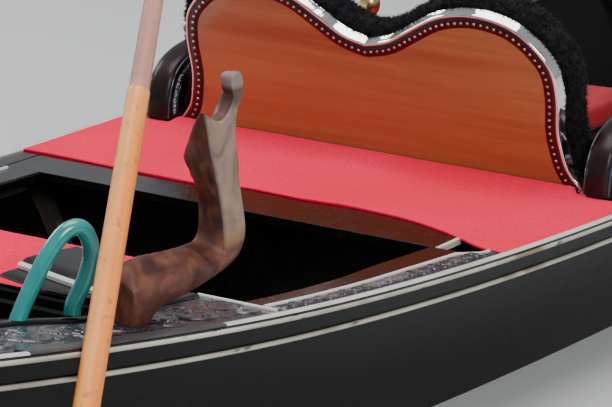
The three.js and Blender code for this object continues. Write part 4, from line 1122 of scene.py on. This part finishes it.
PADDING_INSET = 0.005
PADDING_HEART = 0.12
PADDING_DEPTHS = (0, 0.01, 0.03, 0.06, 0.1, 0.15, 0.22, 0.3, 0.4, 0.5, 0.6, 0.7, 0.8, 0.9, 0.98)
CHANNEL = 0.125
rim_spots = [BACK_PLACE.inverted() @ Vector(p) for p in back_line(-PADDING_INSET, 0)]
padding_rim = [(spot.y, max(spot.z, 0.0)) for spot in rim_spots]
foot_line = np.linspace(padding_rim[-1][0], padding_rim[0][0], 86)[1:-1]
padding_rim += [(float(w), 0.0) for w in foot_line]


def padding_ring(inward, flat=False):
    """The padding's rim, drawn in toward a line across its middle and swelling between seams."""
    ring = []
    for w, height in padding_rim:
        wide = w * (1 - 0.4 * inward)
        seam = abs(math.sin(math.pi * wide / CHANNEL)) ** 0.5
        fullness = min(1.0, inward / 0.3 + 0.02) ** 0.5
        swell = 0 if flat else 0.014 + 0.041 * fullness * (0.45 + 0.55 * seam)
        up = height + (PADDING_HEART - height) * inward + 0.0008
        ring.append(tuple(BACK_PLACE @ Vector((0.0225 + swell, wide, up))))
    return ring


padding_rings = [padding_ring(0, True)] + [padding_ring(inward) for inward in PADDING_DEPTHS]
padding = skinned("back_padding_sewn", padding_rings, red_cloth, 70)
fitted(padding, "red_cloth", "back_padding")
coat(["back_sill"], lacquer)

# Arms: thick arched boards beside the seat, rolled over in dark leather with glossy piping on
# both edges, and on each face a twisted silk cord and a fine line inside it.
ARM_ARCH = (
    (-1.464, 0.362), (-1.459, 0.41), (-1.443, 0.455), (-1.414, 0.486), (-1.37, 0.507), (-1.32, 0.519),
    (-1.26, 0.524), (-1.18, 0.52), (-1.08, 0.5), (-0.99, 0.465), (-0.92, 0.422), (-0.88, 0.385),
)
ARM_THICK = 0.06
ARM_ROLL = ((0, 0.014), (0.002, 0.007), (0.008, 0.0018), (0.016, 0), (0.03, -0.0005), (0.044, 0),
            (0.052, 0.0018), (0.058, 0.007), (0.06, 0.014))


def tube(name, path, radius, finish, sides):
    """A round bar along a path, its ends closed."""
    rings = []
    side_way = None
    for i, p in enumerate(path):
        way = (path[min(i + 1, len(path) - 1)] - path[max(i - 1, 0)]).normalized()
        side_way = way.orthogonal() if side_way is None else side_way - way * side_way.dot(way)
        side_way.normalize()
        other = way.cross(side_way)
        rings.append([p + (side_way * c + other * s) * radius for c, s in circle(sides)])
    return skinned(name, rings, finish, 0)


def twisted(name, path, radius, finish, turn):
    """Two strands laid round each other along a path, in one mesh."""
    lengths = lengths_along(path)
    points, faces = [], []
    marks = np.arange(0, lengths[-1], radius * 0.55)
    for strand in (0, math.pi):
        first = len(points)
        for mark in marks:
            at = spot_along(path, lengths, mark)
            ahead_at = spot_along(path, lengths, mark + 0.004)
            way = (ahead_at - at).normalized() if (ahead_at - at).length > 1e-5 else way
            side_way = way.cross(Vector((0, 1, 0))).normalized()
            other = way.cross(side_way)
            angle = 2 * math.pi * mark / turn + strand
            heart = at + (side_way * math.cos(angle) + other * math.sin(angle)) * radius * 0.55
            points += [heart + (side_way * c + other * s) * radius * 0.6 for c, s in circle(6)]
        last = first + (len(marks) - 1) * 6
        for here in range(first, last, 6):
            for k in range(6):
                a, b = here + k, here + (k + 1) % 6
                faces.append((a, b, b + 6, a + 6))
        faces += [range(first, first + 6), range(last, last + 6)]
    return shaped(name, points, faces, finish, 0)


black_leather = Finish(
    "black leather", Roughness=0.34, Coat_Weight=0.08, Coat_Roughness=0.2, Specular_IOR_Level=0.22,
)
hide = black_leather.cloud(260, detail=4)
handled = black_leather.between(black_leather.cloud(9, detail=3), 0.35, 0.65)
black_leather.painted(handled, (0.005, 0.004, 0.005), (0.02, 0.007, 0.007))
black_leather.raised(hide, 0.0004, 0.4)
# The cord is near black; its pale blue patches are painted highlights.
silk_cord = Finish("silk cord", Roughness=0.35, Sheen_Weight=0.3)
silk_twist_and_highlights = silk_cord.cloud(160, detail=3)
silk_cord.painted(silk_cord.between(silk_twist_and_highlights, 0.46, 0.6), (0.006, 0.008, 0.014), (0.34, 0.42, 0.56))
silk_cord.raised(silk_twist_and_highlights, 0.0004, 0.5)
# The piping is near black; the bluish patches in its colour are a painted reflection.
glossy_piping = Finish("glossy piping", Roughness=0.15, Coat_Weight=0.6, Coat_Roughness=0.06)
piping_painted_reflection = glossy_piping.cloud(24, detail=3)
glossy_piping.painted(piping_painted_reflection, (0.006, 0.009, 0.016), (0.05, 0.075, 0.12))


def taken_in(line, distance):
    """A line of x and z moved inward, under its own curve."""
    moved = []
    for i, p in enumerate(line):
        way = (line[min(i + 1, len(line) - 1)] - line[max(i - 1, 0)]).normalized()
        moved.append(p + Vector((way.y, -way.x)) * distance)
    return moved


arch = [Vector((p.x, p.y)) for p in curved(ARM_ARCH, 90)]
rolls = [taken_in(arch, depth) for _, depth in ARM_ROLL]
for label, y_low in (("port", 0.66), ("starboard", -0.491)):
    arm_rings = []
    for i in range(len(arch)):
        ring = [Vector((line[i].x, y_low + y, line[i].y)) for (y, _), line in zip(ARM_ROLL, rolls)]
        first, last = ring[0].copy(), ring[-1].copy()
        for corner in (first, last):
            corner.z = sheer(corner.x) + (CARPET_THICK + 0.0016 if corner.x < SEAT_BULKHEAD_X else 0.0006)
        arm_rings.append([first] + ring + [last])
    arm = skinned(f"arm_{label}", arm_rings, black_leather, 50)
    fitted(arm, "lacquer", f"arm_board_{label}")
    for face, y, out in (("starboard_face", y_low, -1), ("port_face", y_low + ARM_THICK, 1)):
        edge = [Vector((p.x, y, p.y)) for p in taken_in(arch, 0.009)]
        cord, line = (
            [Vector((p.x, y + out * proud, p.y)) for p in taken_in(arch, inward) if p.y > sheer(p.x) + 0.018]
            for inward, proud in ((0.029, 0.002), (0.044, 0.0005))
        )
        fitted(tube(f"arm_piping_{label}_{face}", edge, 0.0024, glossy_piping, 8), "lacquer")
        fitted(twisted(f"arm_cord_{label}_{face}", cord, 0.0042, silk_cord, 0.017), "lacquer")
        fitted(tube(f"arm_line_{label}_{face}", line, 0.0016, glossy_piping, 8), "lacquer")

# Seat: a plain lacquered box with a loose cushion, and a padded board up to the sill behind it.
# The cushions are red cloth over stuffing, each blown up from a plain box.
coat(["seat_box", "bench_port", "bench_starboard", "side_shelf_port", "side_shelf_starboard"], lacquer)
CUSHION_MESH = 0.009


def fixed_shape(piece):
    """Keeps a piece's shape as its modifiers leave it, and drops them."""
    seen = piece.evaluated_get(bpy.context.evaluated_depsgraph_get())
    mesh = bpy.data.meshes.new_from_object(seen)
    piece.modifiers.clear()
    piece.data = mesh


def stuffed(name, low, high, most):
    """A cushion blown up from a slightly smaller box, no point moving further than most."""
    low, high = Vector(low), Vector(high)
    shy = Vector((most * 0.5, most * 0.5, most * 0.55))
    small_low = low + shy
    small_low.z = low.z
    cushion = block(name, small_low, high - shy, red_cloth, 0.012)
    cushion.modifiers[0].segments = 3
    remesh = cushion.modifiers.new("even mesh", "REMESH")
    remesh.mode = "VOXEL"
    remesh.voxel_size = CUSHION_MESH
    fixed_shape(cushion)
    rest = [v.co.copy() for v in cushion.data.vertices]
    blown = cushion.modifiers.new("stuffing", "CLOTH")
    blown.settings.use_pressure = True
    blown.settings.uniform_pressure_force = 4
    blown.settings.effector_weights.gravity = 0
    for step in range(1, 21):
        bpy.context.scene.frame_set(step)
    fixed_shape(cushion)
    bpy.context.scene.frame_set(1)
    for vertex, start in zip(cushion.data.vertices, rest):
        moved = vertex.co - start
        if moved.length > most:
            moved *= most / moved.length
        vertex.co = start + moved
        vertex.co.z = max(vertex.co.z, low.z)
    cushion.data.materials.clear()
    cushion.data.materials.append(red_cloth.material)
    cushion.data.shade_smooth()
    smoother = cushion.modifiers.new("smoother", "SUBSURF")
    smoother.levels = smoother.render_levels = 1
    return cushion


for node, low, high, most in (
    ("seat_cushion", (-1.363, -0.38, 0.1406), (-0.862, 0.59, 0.234), 0.012),
    ("lower_back_pad", (-1.417, -0.38, 0.1406), (-1.3675, 0.59, 0.3435), 0.008),
    ("bench_cushion_port", (-0.143, 0.307, 0.0706), (0.343, 0.592, 0.1445), 0.01),
    ("bench_cushion_starboard", (-0.143, -0.375, 0.0706), (0.343, -0.117, 0.1445), 0.01),
):
    cushion = fitted(stuffed(f"{node}_stuffed", low, high, most), "red_cloth", node)

# Floor carpet: a red runner on the floorboards between the seat and the fore bulkhead.
# It is the same felted cloth as behind the seat, laid loose so that it can be lifted out.
def floor_carpet_place(u, v):
    x = -0.86 + 2.76 * u
    return x, -0.095 + 0.38 * v, floor_top(x) + 0.0006


floor_carpet = laid("floor_carpet_laid", floor_carpet_place, 120, 24, CARPET_THICK, red_carpet)
fitted(floor_carpet, "red_carpet", "floor_carpet")

# Finials: turned brass knobs screwed to the caps beside the fore well, as handholds.
# Each is turned in one piece from its round foot to its tip, and polished.
FINIAL = (
    (0.026, 0), (0.026, 0.007), (0.024, 0.01), (0.014, 0.014), (0.0115, 0.02), (0.01, 0.034), (0.0115, 0.047),
    (0.018, 0.056), (0.0255, 0.07), (0.028, 0.085), (0.0255, 0.1), (0.018, 0.112), (0.011, 0.12),
    (0.0105, 0.124), (0.0135, 0.129), (0.0135, 0.134), (0.011, 0.14), (0.005, 0.145),
)
FINIAL_X = -0.3
brass = Finish("brass", Metallic=1.0)
brass_dull = brass.cloud(40, detail=4)
brass.painted(brass.between(brass_dull, 0.4, 0.7), (0.86, 0.62, 0.3), (0.55, 0.38, 0.17))
brass.wear("Roughness", brass.between(brass_dull, 0.3, 0.7, 0.14, 0.36))
for side, label in SIDES:
    y, base = side * (beam(FINIAL_X, side) - 0.042), sheer(FINIAL_X) + 0.001
    rings = [[(FINIAL_X + r * c, y + r * s, base + h) for c, s in circle(28)] for r, h in FINIAL]
    fitted(skinned(f"finial_{label}", rings, brass), "brass", f"brass_finial_{label}")

# Forked rowlock: carved from one block of walnut, oiled, and worn grey where the oar rubs it; that face is
# also painted lighter for the light falling on it.
# A limb rises from the side deck to an elbow, then a neck carries the open notch and its ear.
walnut = Finish("walnut", Coat_Weight=0.03, Coat_Roughness=0.4, Specular_IOR_Level=0.3)
grain = walnut.cloud(7, stretch=(2.2, 4, 1.6), detail=6, twist=1.2)
blotch = walnut.cloud(14, detail=3)
heartwood = walnut.ramp(
    grain, (0.3, (0.045, 0.015, 0.012)), (0.5, (0.12, 0.041, 0.029)), (0.68, (0.2, 0.076, 0.046)),
)
heartwood = walnut.mixed(walnut.between(blotch, 0.48, 0.66) * 0.75, heartwood, (0.034, 0.012, 0.012))
# The outer face's rubbed colour is wear from the oar, and also painted light: that face is painted lighter
# for the light falling on it.
rubbed = walnut.ramp(grain, (0.3, (0.15, 0.1, 0.08)), (0.52, (0.3, 0.2, 0.155)), (0.7, (0.38, 0.26, 0.18)))
outer_face = walnut.between(walnut.axis(1), -0.3985, -0.4045)
above_elbow = walnut.between(walnut.axis(2), 0.56, 0.6)
walnut_wear_and_painted_light = walnut.mixed(outer_face * above_elbow, heartwood, rubbed)
# Painted highlight: a bluish-grey line along the edge of the outer face, above the elbow.
ridge_painted_highlight = walnut.ramp(outer_face, (0.1, (0, 0, 0)), (0.5, (1, 1, 1)), (0.9, (0, 0, 0))) * above_elbow
walnut_wear_and_painted_light = walnut.mixed(ridge_painted_highlight * 0.6, walnut_wear_and_painted_light, (0.22, 0.23, 0.3))
# Painted shadow: a dark band under the ear.
painted_shadow_under_ear = walnut.between(walnut.axis(2), 0.822, 0.84) * walnut.between(walnut.axis(2), 0.872, 0.862)
walnut_wear_and_painted_light = walnut.mixed(painted_shadow_under_ear * 0.8, walnut_wear_and_painted_light, (0.055, 0.032, 0.02))
at_elbow = walnut.between(walnut.axis(2), 0.556, 0.57) * walnut.between(walnut.axis(2), 0.606, 0.584)
walnut_wear_and_painted_light = walnut.mixed(at_elbow * outer_face * 0.4, walnut_wear_and_painted_light, (0.42, 0.21, 0.06))
on_ear = walnut.between(walnut.axis(2), 0.862, 0.872)
walnut_wear_and_painted_light = walnut.mixed(on_ear * 0.8, walnut_wear_and_painted_light, (0.27, 0.19, 0.19))
walnut.wear("Base Color", walnut_wear_and_painted_light)
walnut.wear("Roughness", walnut.between(blotch, 0.3, 0.7, 0.35, 0.6))
walnut.raised(grain + blotch * 0.4, 0.0015, 0.5)

FOOT_Z = 0.45
# Each station of the limb and neck: front outer corner, ridge, back inner corner, front inner corner.
LIMB = (
    ((-3.158, -0.366, FOOT_Z), (-3.166, -0.374, 0.53), (-3.168, -0.326, 0.562), (-3.158, -0.318, FOOT_Z)),
    ((-3.115, -0.37, FOOT_Z), (-3.145, -0.386, 0.535), (-3.15, -0.33, 0.578), (-3.115, -0.318, FOOT_Z)),
    ((-3.08, -0.374, 0.478), (-3.1, -0.398, 0.538), (-3.11, -0.336, 0.584), (-3.08, -0.32, 0.476)),
    ((-3.02, -0.378, 0.487), (-3.04, -0.405, 0.5415), (-3.055, -0.342, 0.58), (-3.02, -0.328, 0.485)),
    ((-2.95, -0.386, 0.498), (-2.97, -0.407, 0.541), (-3.0, -0.345, 0.5755), (-2.95, -0.335, 0.494)),
    ((-2.8666, -0.397, 0.522), (-2.92, -0.407, 0.5415), (-2.955, -0.345, 0.5735), (-2.866, -0.342, 0.52)),
    ((-2.838, -0.402, 0.545), (-2.8977, -0.407, 0.55), (-2.9264, -0.345, 0.5736), (-2.838, -0.345, 0.545)),
    ((-2.83, -0.406, 0.573), (-2.898, -0.407, 0.572), (-2.909, -0.345, 0.59), (-2.83, -0.347, 0.573)),
    ((-2.8345, -0.407, 0.604), (-2.9025, -0.407, 0.608), (-2.907, -0.345, 0.615), (-2.834, -0.347, 0.604)),
    ((-2.8475, -0.407, 0.65), (-2.9155, -0.407, 0.65), (-2.912, -0.345, 0.658), (-2.8475, -0.347, 0.65)),
    ((-2.8605, -0.407, 0.695), (-2.9285, -0.407, 0.695), (-2.932, -0.345, 0.695), (-2.8605, -0.347, 0.695)),
    ((-2.871, -0.4065, 0.745), (-2.946, -0.4065, 0.745), (-2.962, -0.3455, 0.742), (-2.871, -0.3475, 0.745)),
)
# The notch, its ear and the horn behind it, as an outer and an inner edge round the same shape.
FORK_OUTER = (
    (-2.862, -0.407, 0.7), (-2.8735, -0.407, 0.765), (-2.8745, -0.407, 0.8), (-2.868, -0.406, 0.826),
    (-2.852, -0.405, 0.845), (-2.848, -0.405, 0.867), (-2.855, -0.404, 0.889), (-2.869, -0.403, 0.896),
    (-2.885, -0.402, 0.888), (-2.888, -0.402, 0.866), (-2.881, -0.404, 0.848), (-2.893, -0.405, 0.828),
    (-2.908, -0.406, 0.815), (-2.93, -0.406, 0.812), (-2.955, -0.406, 0.821), (-2.99, -0.404, 0.843),
    (-2.982, -0.407, 0.828), (-2.969, -0.407, 0.803), (-2.955, -0.407, 0.761), (-2.936, -0.407, 0.715),
    (-2.925, -0.407, 0.69),
)
FORK_INNER = (
    (-2.862, -0.347, 0.7), (-2.8735, -0.349, 0.765), (-2.874, -0.362, 0.8), (-2.866, -0.374, 0.826),
    (-2.851, -0.375, 0.845), (-2.848, -0.371, 0.865), (-2.856, -0.371, 0.886), (-2.869, -0.372, 0.893),
    (-2.883, -0.371, 0.886), (-2.88, -0.37, 0.866), (-2.8735, -0.374, 0.848), (-2.8865, -0.374, 0.828),
    (-2.9, -0.368, 0.814), (-2.922, -0.366, 0.8105), (-2.945, -0.368, 0.815), (-2.984, -0.392, 0.838),
    (-2.968, -0.372, 0.817), (-2.964, -0.356, 0.78), (-2.9656, -0.345, 0.741), (-2.944, -0.345, 0.712),
    (-2.93, -0.345, 0.695),
)
DECK_CLEAR = 0.0006
limb_rings = []
for corners in zip(*(curved(corner, 66) for corner in zip(*LIMB))):
    middle = sum(corners, Vector()) / 4
    ring = []
    for a, b in zip(corners, corners[1:] + corners[:1]):
        for t in (0.04, 0.12, 0.3, 0.5, 0.7, 0.88, 0.96):
            p = a.lerp(b, t)
            p += (p - middle).normalized() * 0.003 * math.sin(math.pi * t)
            p.z = max(p.z, sheer(p.x) + DECK_CLEAR)
            ring.append(p)
    limb_rings.append(ring)
rowlock = skinned("rowlock_carved", limb_rings, walnut, 30)
outer_edge, inner_edge = (curved(edge, 110, True) for edge in (FORK_OUTER, FORK_INNER))
around = len(outer_edge)
fork_faces = [(i, (i + 1) % around, around + (i + 1) % around, around + i) for i in range(around)]
fork_faces += [range(around), range(around, 2 * around)]
fork = shaped("rowlock_fork", outer_edge + inner_edge, fork_faces, walnut, 30)
union = rowlock.modifiers.new("one block", "BOOLEAN")
union.operation = "UNION"
union.solver = "EXACT"
union.object = fork
one_skin = rowlock.modifiers.new("one skin", "REMESH")
one_skin.mode = "VOXEL"
one_skin.voxel_size = 0.0021
spokeshaved = rowlock.modifiers.new("spokeshaved", "SMOOTH")
spokeshaved.factor = 0.5
spokeshaved.iterations = 26
fixed_shape(rowlock)
bpy.data.objects.remove(fork)


def stood_on_deck(piece):
    """Trims a piece's feet to the side deck under them."""
    for vertex in piece.data.vertices:
        vertex.co.z = max(vertex.co.z, sheer(vertex.co.x) + DECK_CLEAR)


stood_on_deck(rowlock)
rowlock.data.materials.clear()
rowlock.data.materials.append(walnut.material)
rowlock.data.shade_smooth()
fitted(rowlock, "walnut", "rowlock")

# Bent green tube standing in the side deck: stiff plastic pipe, both ends let into the deck.
green_plastic = Finish("green plastic", Roughness=0.18, Coat_Weight=0.5, Coat_Roughness=0.05)
green_tone = green_plastic.cloud(26, detail=4)
green_plastic.painted(green_tone, (0.01, 0.2, 0.19), (0.018, 0.36, 0.34))
green_plastic.raised(green_tone, 0.0008, 0.4)
TUBE_PATH = (
    (-3.293, -0.202, 0), (-3.275, -0.211, 0.045), (-3.24, -0.23, 0.12), (-3.205, -0.249, 0.167),
    (-3.175, -0.266, 0.17), (-3.158, -0.275, 0.13), (-3.166, -0.271, 0.08), (-3.187, -0.259, 0.03),
    (-3.19, -0.257, 0.009),
)
tube_foot = sheer(-3.293) - 0.0078
tube_path = [Vector((p.x, p.y, p.z + tube_foot)) for p in curved(TUBE_PATH, 60)]
green_tube = tube("green_tube_bent", tube_path, 0.016, green_plastic, 24)
stood_on_deck(green_tube)
fitted(green_tube, "green_plastic", "green_tube")

# Oar: a spruce shaft and a long flat blade, leaning on the gunwale's edge, blade in the water.
# The shaft is varnished orange below its bare grey grip. Shaft and blade are glued up as one.
OAR_PIVOT = Vector((-3.36903, -0.43234, 0.495925))
OAR_ALONG = Vector((0.65355, 0.2811, 0.70275)).normalized()
OAR_SIDEWAYS = Vector((1, 0, 0)).cross(OAR_ALONG).normalized()
OAR_ACROSS = OAR_ALONG.cross(OAR_SIDEWAYS)
OAR_GRIP_AT = 0.53
SHAFT = ((-0.9, 0.026), (-0.4, 0.025), (0, 0.024), (0.522, 0.0215), (0.53, 0.0212), (0.534, 0.0195),
         (0.755, 0.018), (1.3, 0.017), (1.78, 0.0165), (1.797, 0.014), (1.8, 0.009))
BLADE = ((-0.9003, 0.026, 0.011), (-1, 0.046, 0.011), (-1.2, 0.055, 0.0108), (-1.5, 0.066, 0.01),
         (-2.1, 0.073, 0.009), (-2.38, 0.074, 0.008), (-2.3985, 0.07, 0.006))


def oar_wood(name, pale, deep, dark, coat_weight, roughness):
    """Spruce with its grain along the shaft, bare or varnished."""
    wood = Finish(name, Coat_Weight=coat_weight, Coat_Roughness=0.12)
    along = wood.node("ShaderNodeVectorMath", {"operation": "DOT_PRODUCT"},
                      {0: wood.place(), 1: tuple(OAR_ALONG)}, 1)
    spot = wood.place()
    flat = wood.node("ShaderNodeVectorMath", {"operation": "SCALE"},
                     {0: tuple(OAR_ALONG), "Scale": along * -0.94})
    squeezed = wood.node("ShaderNodeVectorMath", {"operation": "ADD"}, {0: spot, 1: flat})
    fibres = wood.node("ShaderNodeTexNoise", {}, {"Vector": squeezed, "Scale": 120.0, "Detail": 4.0})
    streaks = wood.node("ShaderNodeTexNoise", {}, {"Vector": squeezed, "Scale": 26.0, "Detail": 5.0})
    tone = wood.mixed(wood.between(streaks, 0.38, 0.6), deep, pale)
    specks = wood.between(wood.cloud(60, detail=5), 0.6, 0.7)
    tone = wood.mixed(wood.between(fibres, 0.45, 0.75) * 0.35, tone, dark)
    wood.painted(specks * 0.6, tone, dark)
    wood.wear("Roughness", wood.between(streaks, 0.3, 0.7, roughness, roughness + 0.15))
    wood.raised(fibres * 0.4 + specks * -0.5, 0.0005, 0.4)
    return wood


varnished_spruce = oar_wood(
    "varnished spruce", (1.0, 0.4, 0.09), (0.98, 0.25, 0.025), (0.45, 0.13, 0.025), 0.15, 0.32,
)
bare_spruce = oar_wood("bare spruce", (0.56, 0.27, 0.2), (0.42, 0.17, 0.12), (0.16, 0.08, 0.06), 0.05, 0.5)


def oar_spot(distance, side_by, across_by):
    return OAR_PIVOT + OAR_ALONG * distance + OAR_SIDEWAYS * side_by + OAR_ACROSS * across_by


marks, radii = zip(*SHAFT)
shaft_rings = []
for d in sorted({*marks, *np.linspace(-0.9, 1.78, 60)}):
    r = float(np.interp(d, marks, radii))
    shaft_rings.append([oar_spot(d, r * c, r * s) for c, s in circle(32)])
oar_shaft = skinned("oar_shaft_turned", shaft_rings, varnished_spruce, 50)
oar_shaft.data.materials.append(bare_spruce.material)
for face in oar_shaft.data.polygons:
    if (face.center - OAR_PIVOT).dot(OAR_ALONG) > OAR_GRIP_AT:
        face.material_index = 1
blade_section = []
for k in range(32):
    turn = 2 * math.pi * k / 32
    wide = math.cos(turn) * (1 - 0.06 * math.sin(2 * turn) ** 2)
    blade_section.append((wide, math.copysign(abs(math.sin(turn)) ** 0.6, math.sin(turn))))
blade_rings = [[oar_spot(d, half * c, thick * s) for c, s in blade_section] for d, half, thick in BLADE]
oar_blade = skinned("oar_blade_flat", blade_rings, varnished_spruce, 50)
fitted(oar_shaft, "oar_wood", "oar_shaft", body="oar")
fitted(oar_blade, "oar_wood", "oar_blade", body="oar")

# End irons: the toothed blade on the stem and the curl on the sternpost, cut from 14 mm plate.
# Steel, polished bright, its edges filed round.
IRON_HALF = 0.007
NECK_X, TOOTH_X = 5.362, 5.472
BLADE_FRONT = ((NECK_X + 0.02, 1.385), (NECK_X + 0.09, 1.4), (NECK_X + 0.15, 1.45), (NECK_X + 0.165, 1.54),
               (NECK_X + 0.13, 1.63), (NECK_X + 0.05, 1.69), (NECK_X - 0.04, 1.705))
BLADE_BACK = ((5.262, 1.69), (5.27, 1.6), (5.295, 1.5), (5.308, 1.42), (5.304, 1.35))
REAR_TOOTH = ((5.28, 1.312), (5.19, 1.3), (5.182, 1.284), (5.19, 1.268), (5.3003, 1.262))
STERN_CURL = ((-5.35, 1.01), (-5.362, 1.11), (-5.34, 1.2), (-5.275, 1.24), (-5.22, 1.215), (-5.208, 1.16),
              (-5.24, 1.135), (-5.265, 1.16), (-5.29, 1.16), (-5.305, 1.11), (-5.3003, 1.03))
worn_steel = Finish("worn steel", Metallic=1.0)
steel_tone = worn_steel.cloud(9, detail=5)
worn_steel.painted(steel_tone, (0.45, 0.46, 0.47), (0.66, 0.67, 0.67))
worn_steel.wear("Roughness", worn_steel.between(worn_steel.cloud(40, detail=4), 0.3, 0.7, 0.18, 0.4))
worn_steel.raised(worn_steel.cloud(220), 0.0003, 0.3)


def iron_plate(name, outline):
    """A flat plate cut to an outline of x and z, standing on the middle line."""
    points = [(x, y, z) for y in (-IRON_HALF, IRON_HALF) for x, z in outline]
    count = len(outline)
    faces = [(i, (i + 1) % count, count + (i + 1) % count, count + i) for i in range(count)]
    faces += [range(count), range(count, 2 * count)]
    return eased(shaped(name, points, faces, worn_steel, 0), 0.0025)


def keel_strip(points):
    return [(x, faired("keel", x) - down) for x, down in points]


stem_foot = faired("keel", POST_END)
teeth = []
for k in range(6):
    low = 0.915 + 0.07 * k
    teeth += [(NECK_X, low), (TOOTH_X - 0.008, low + 0.003), (TOOTH_X, low + 0.01), (TOOTH_X, low + 0.038),
              (TOOTH_X - 0.008, low + 0.046), (NECK_X, low + 0.048)]
smooth_front, smooth_back = ([tuple(p) for p in curved(line, 24)] for line in (BLADE_FRONT, BLADE_BACK))
bow_iron = iron_plate("bow_iron_toothed", (
    keel_strip([(5.02, HAIRLINE), (5.02, 0.007), (5.1, 0.009)])
    + [(POST_END, stem_foot - 0.014), (POST_END + 0.03, stem_foot + 0.03), (NECK_X, 0.855)]
    + teeth + smooth_front + smooth_back + list(REAR_TOOTH)
    + [(POST_END + HAIRLINE, stem_foot), (POST_END, stem_foot - HAIRLINE)] + keel_strip([(5.1, HAIRLINE)])))
stern_foot = faired("keel", -POST_END)
smooth_curl = [tuple(p) for p in reversed(curved(STERN_CURL, 40))]
stern_iron = iron_plate("stern_iron_curled", (
    keel_strip([(-5.02, HAIRLINE), (-5.1, HAIRLINE)])
    + [(-POST_END, stern_foot - HAIRLINE), (-POST_END - HAIRLINE, stern_foot)] + smooth_curl
    + [(-POST_END - 0.025, stern_foot + 0.03), (-POST_END, stern_foot - 0.014)]
    + keel_strip([(-5.1, 0.009), (-5.02, 0.007)])))
fitted(bow_iron, "iron", "bow_iron")
fitted(stern_iron, "iron", "stern_iron")

# Studio: a plain pale floor at the waterline and soft light from wide panels.
# The floor stops inside the planking's thickness, so that it doesn't cross the open hull.
floor_finish = Finish("studio floor", Roughness=0.75)
floor_tone = floor_finish.cloud(1.2, detail=2)
floor_finish.painted(floor_tone, (0.6, 0.6, 0.6), (0.63, 0.63, 0.63))
FLOOR_REACH = 40.0
afloat = [float(x) for x in np.linspace(-HULL_END, HULL_END, 400) if faired("keel", x) < -BOTTOM_THICK / 2]
for side, label in SIDES:
    waterline = [(x, side * (planked(x, 0, side) - SIDE_THICK / 2), 0) for x in afloat]
    far_corners = [(FLOOR_REACH, 0, 0), (FLOOR_REACH, side * FLOOR_REACH, 0),
                   (-FLOOR_REACH, side * FLOOR_REACH, 0), (-FLOOR_REACH, 0, 0)]
    outline = [(afloat[0], 0, 0)] + waterline + [(afloat[-1], 0, 0)] + far_corners
    studio_floor = shaped(f"studio_floor_{label}", outline, [range(len(outline))], floor_finish, 0)
LIGHTS = (
    ("panel_overhead", (-2.5, 0.5, 7.5), (-2.5, 0, 0.4), 6.0, 475.0),
    ("panel_starboard_aft", (-7.5, -7.0, 5.5), (-2.5, 0, 0.4), 4.0, 520.0),
    ("panel_port", (-1.0, 7.5, 4.5), (-2.5, 0, 0.6), 4.0, 260.0),
)
for name, spot, aim, size, power in LIGHTS:
    lamp = bpy.data.lights.new(name, "AREA")
    lamp.shape = "DISK"
    lamp.size = size
    lamp.energy = power
    panel = bpy.data.objects.new(name, lamp)
    panel.location = spot
    panel.rotation_euler = (Vector(aim) - Vector(spot)).to_track_quat("-Z", "Y").to_euler()
    bpy.context.scene.collection.objects.link(panel)
world = bpy.data.worlds.new("studio")
world.use_nodes = True
world.node_tree.nodes["Background"].inputs["Color"].default_value = (0.36, 0.38, 0.4, 1)
world.node_tree.nodes["Background"].inputs["Strength"].default_value = 1.0
bpy.context.scene.world = world
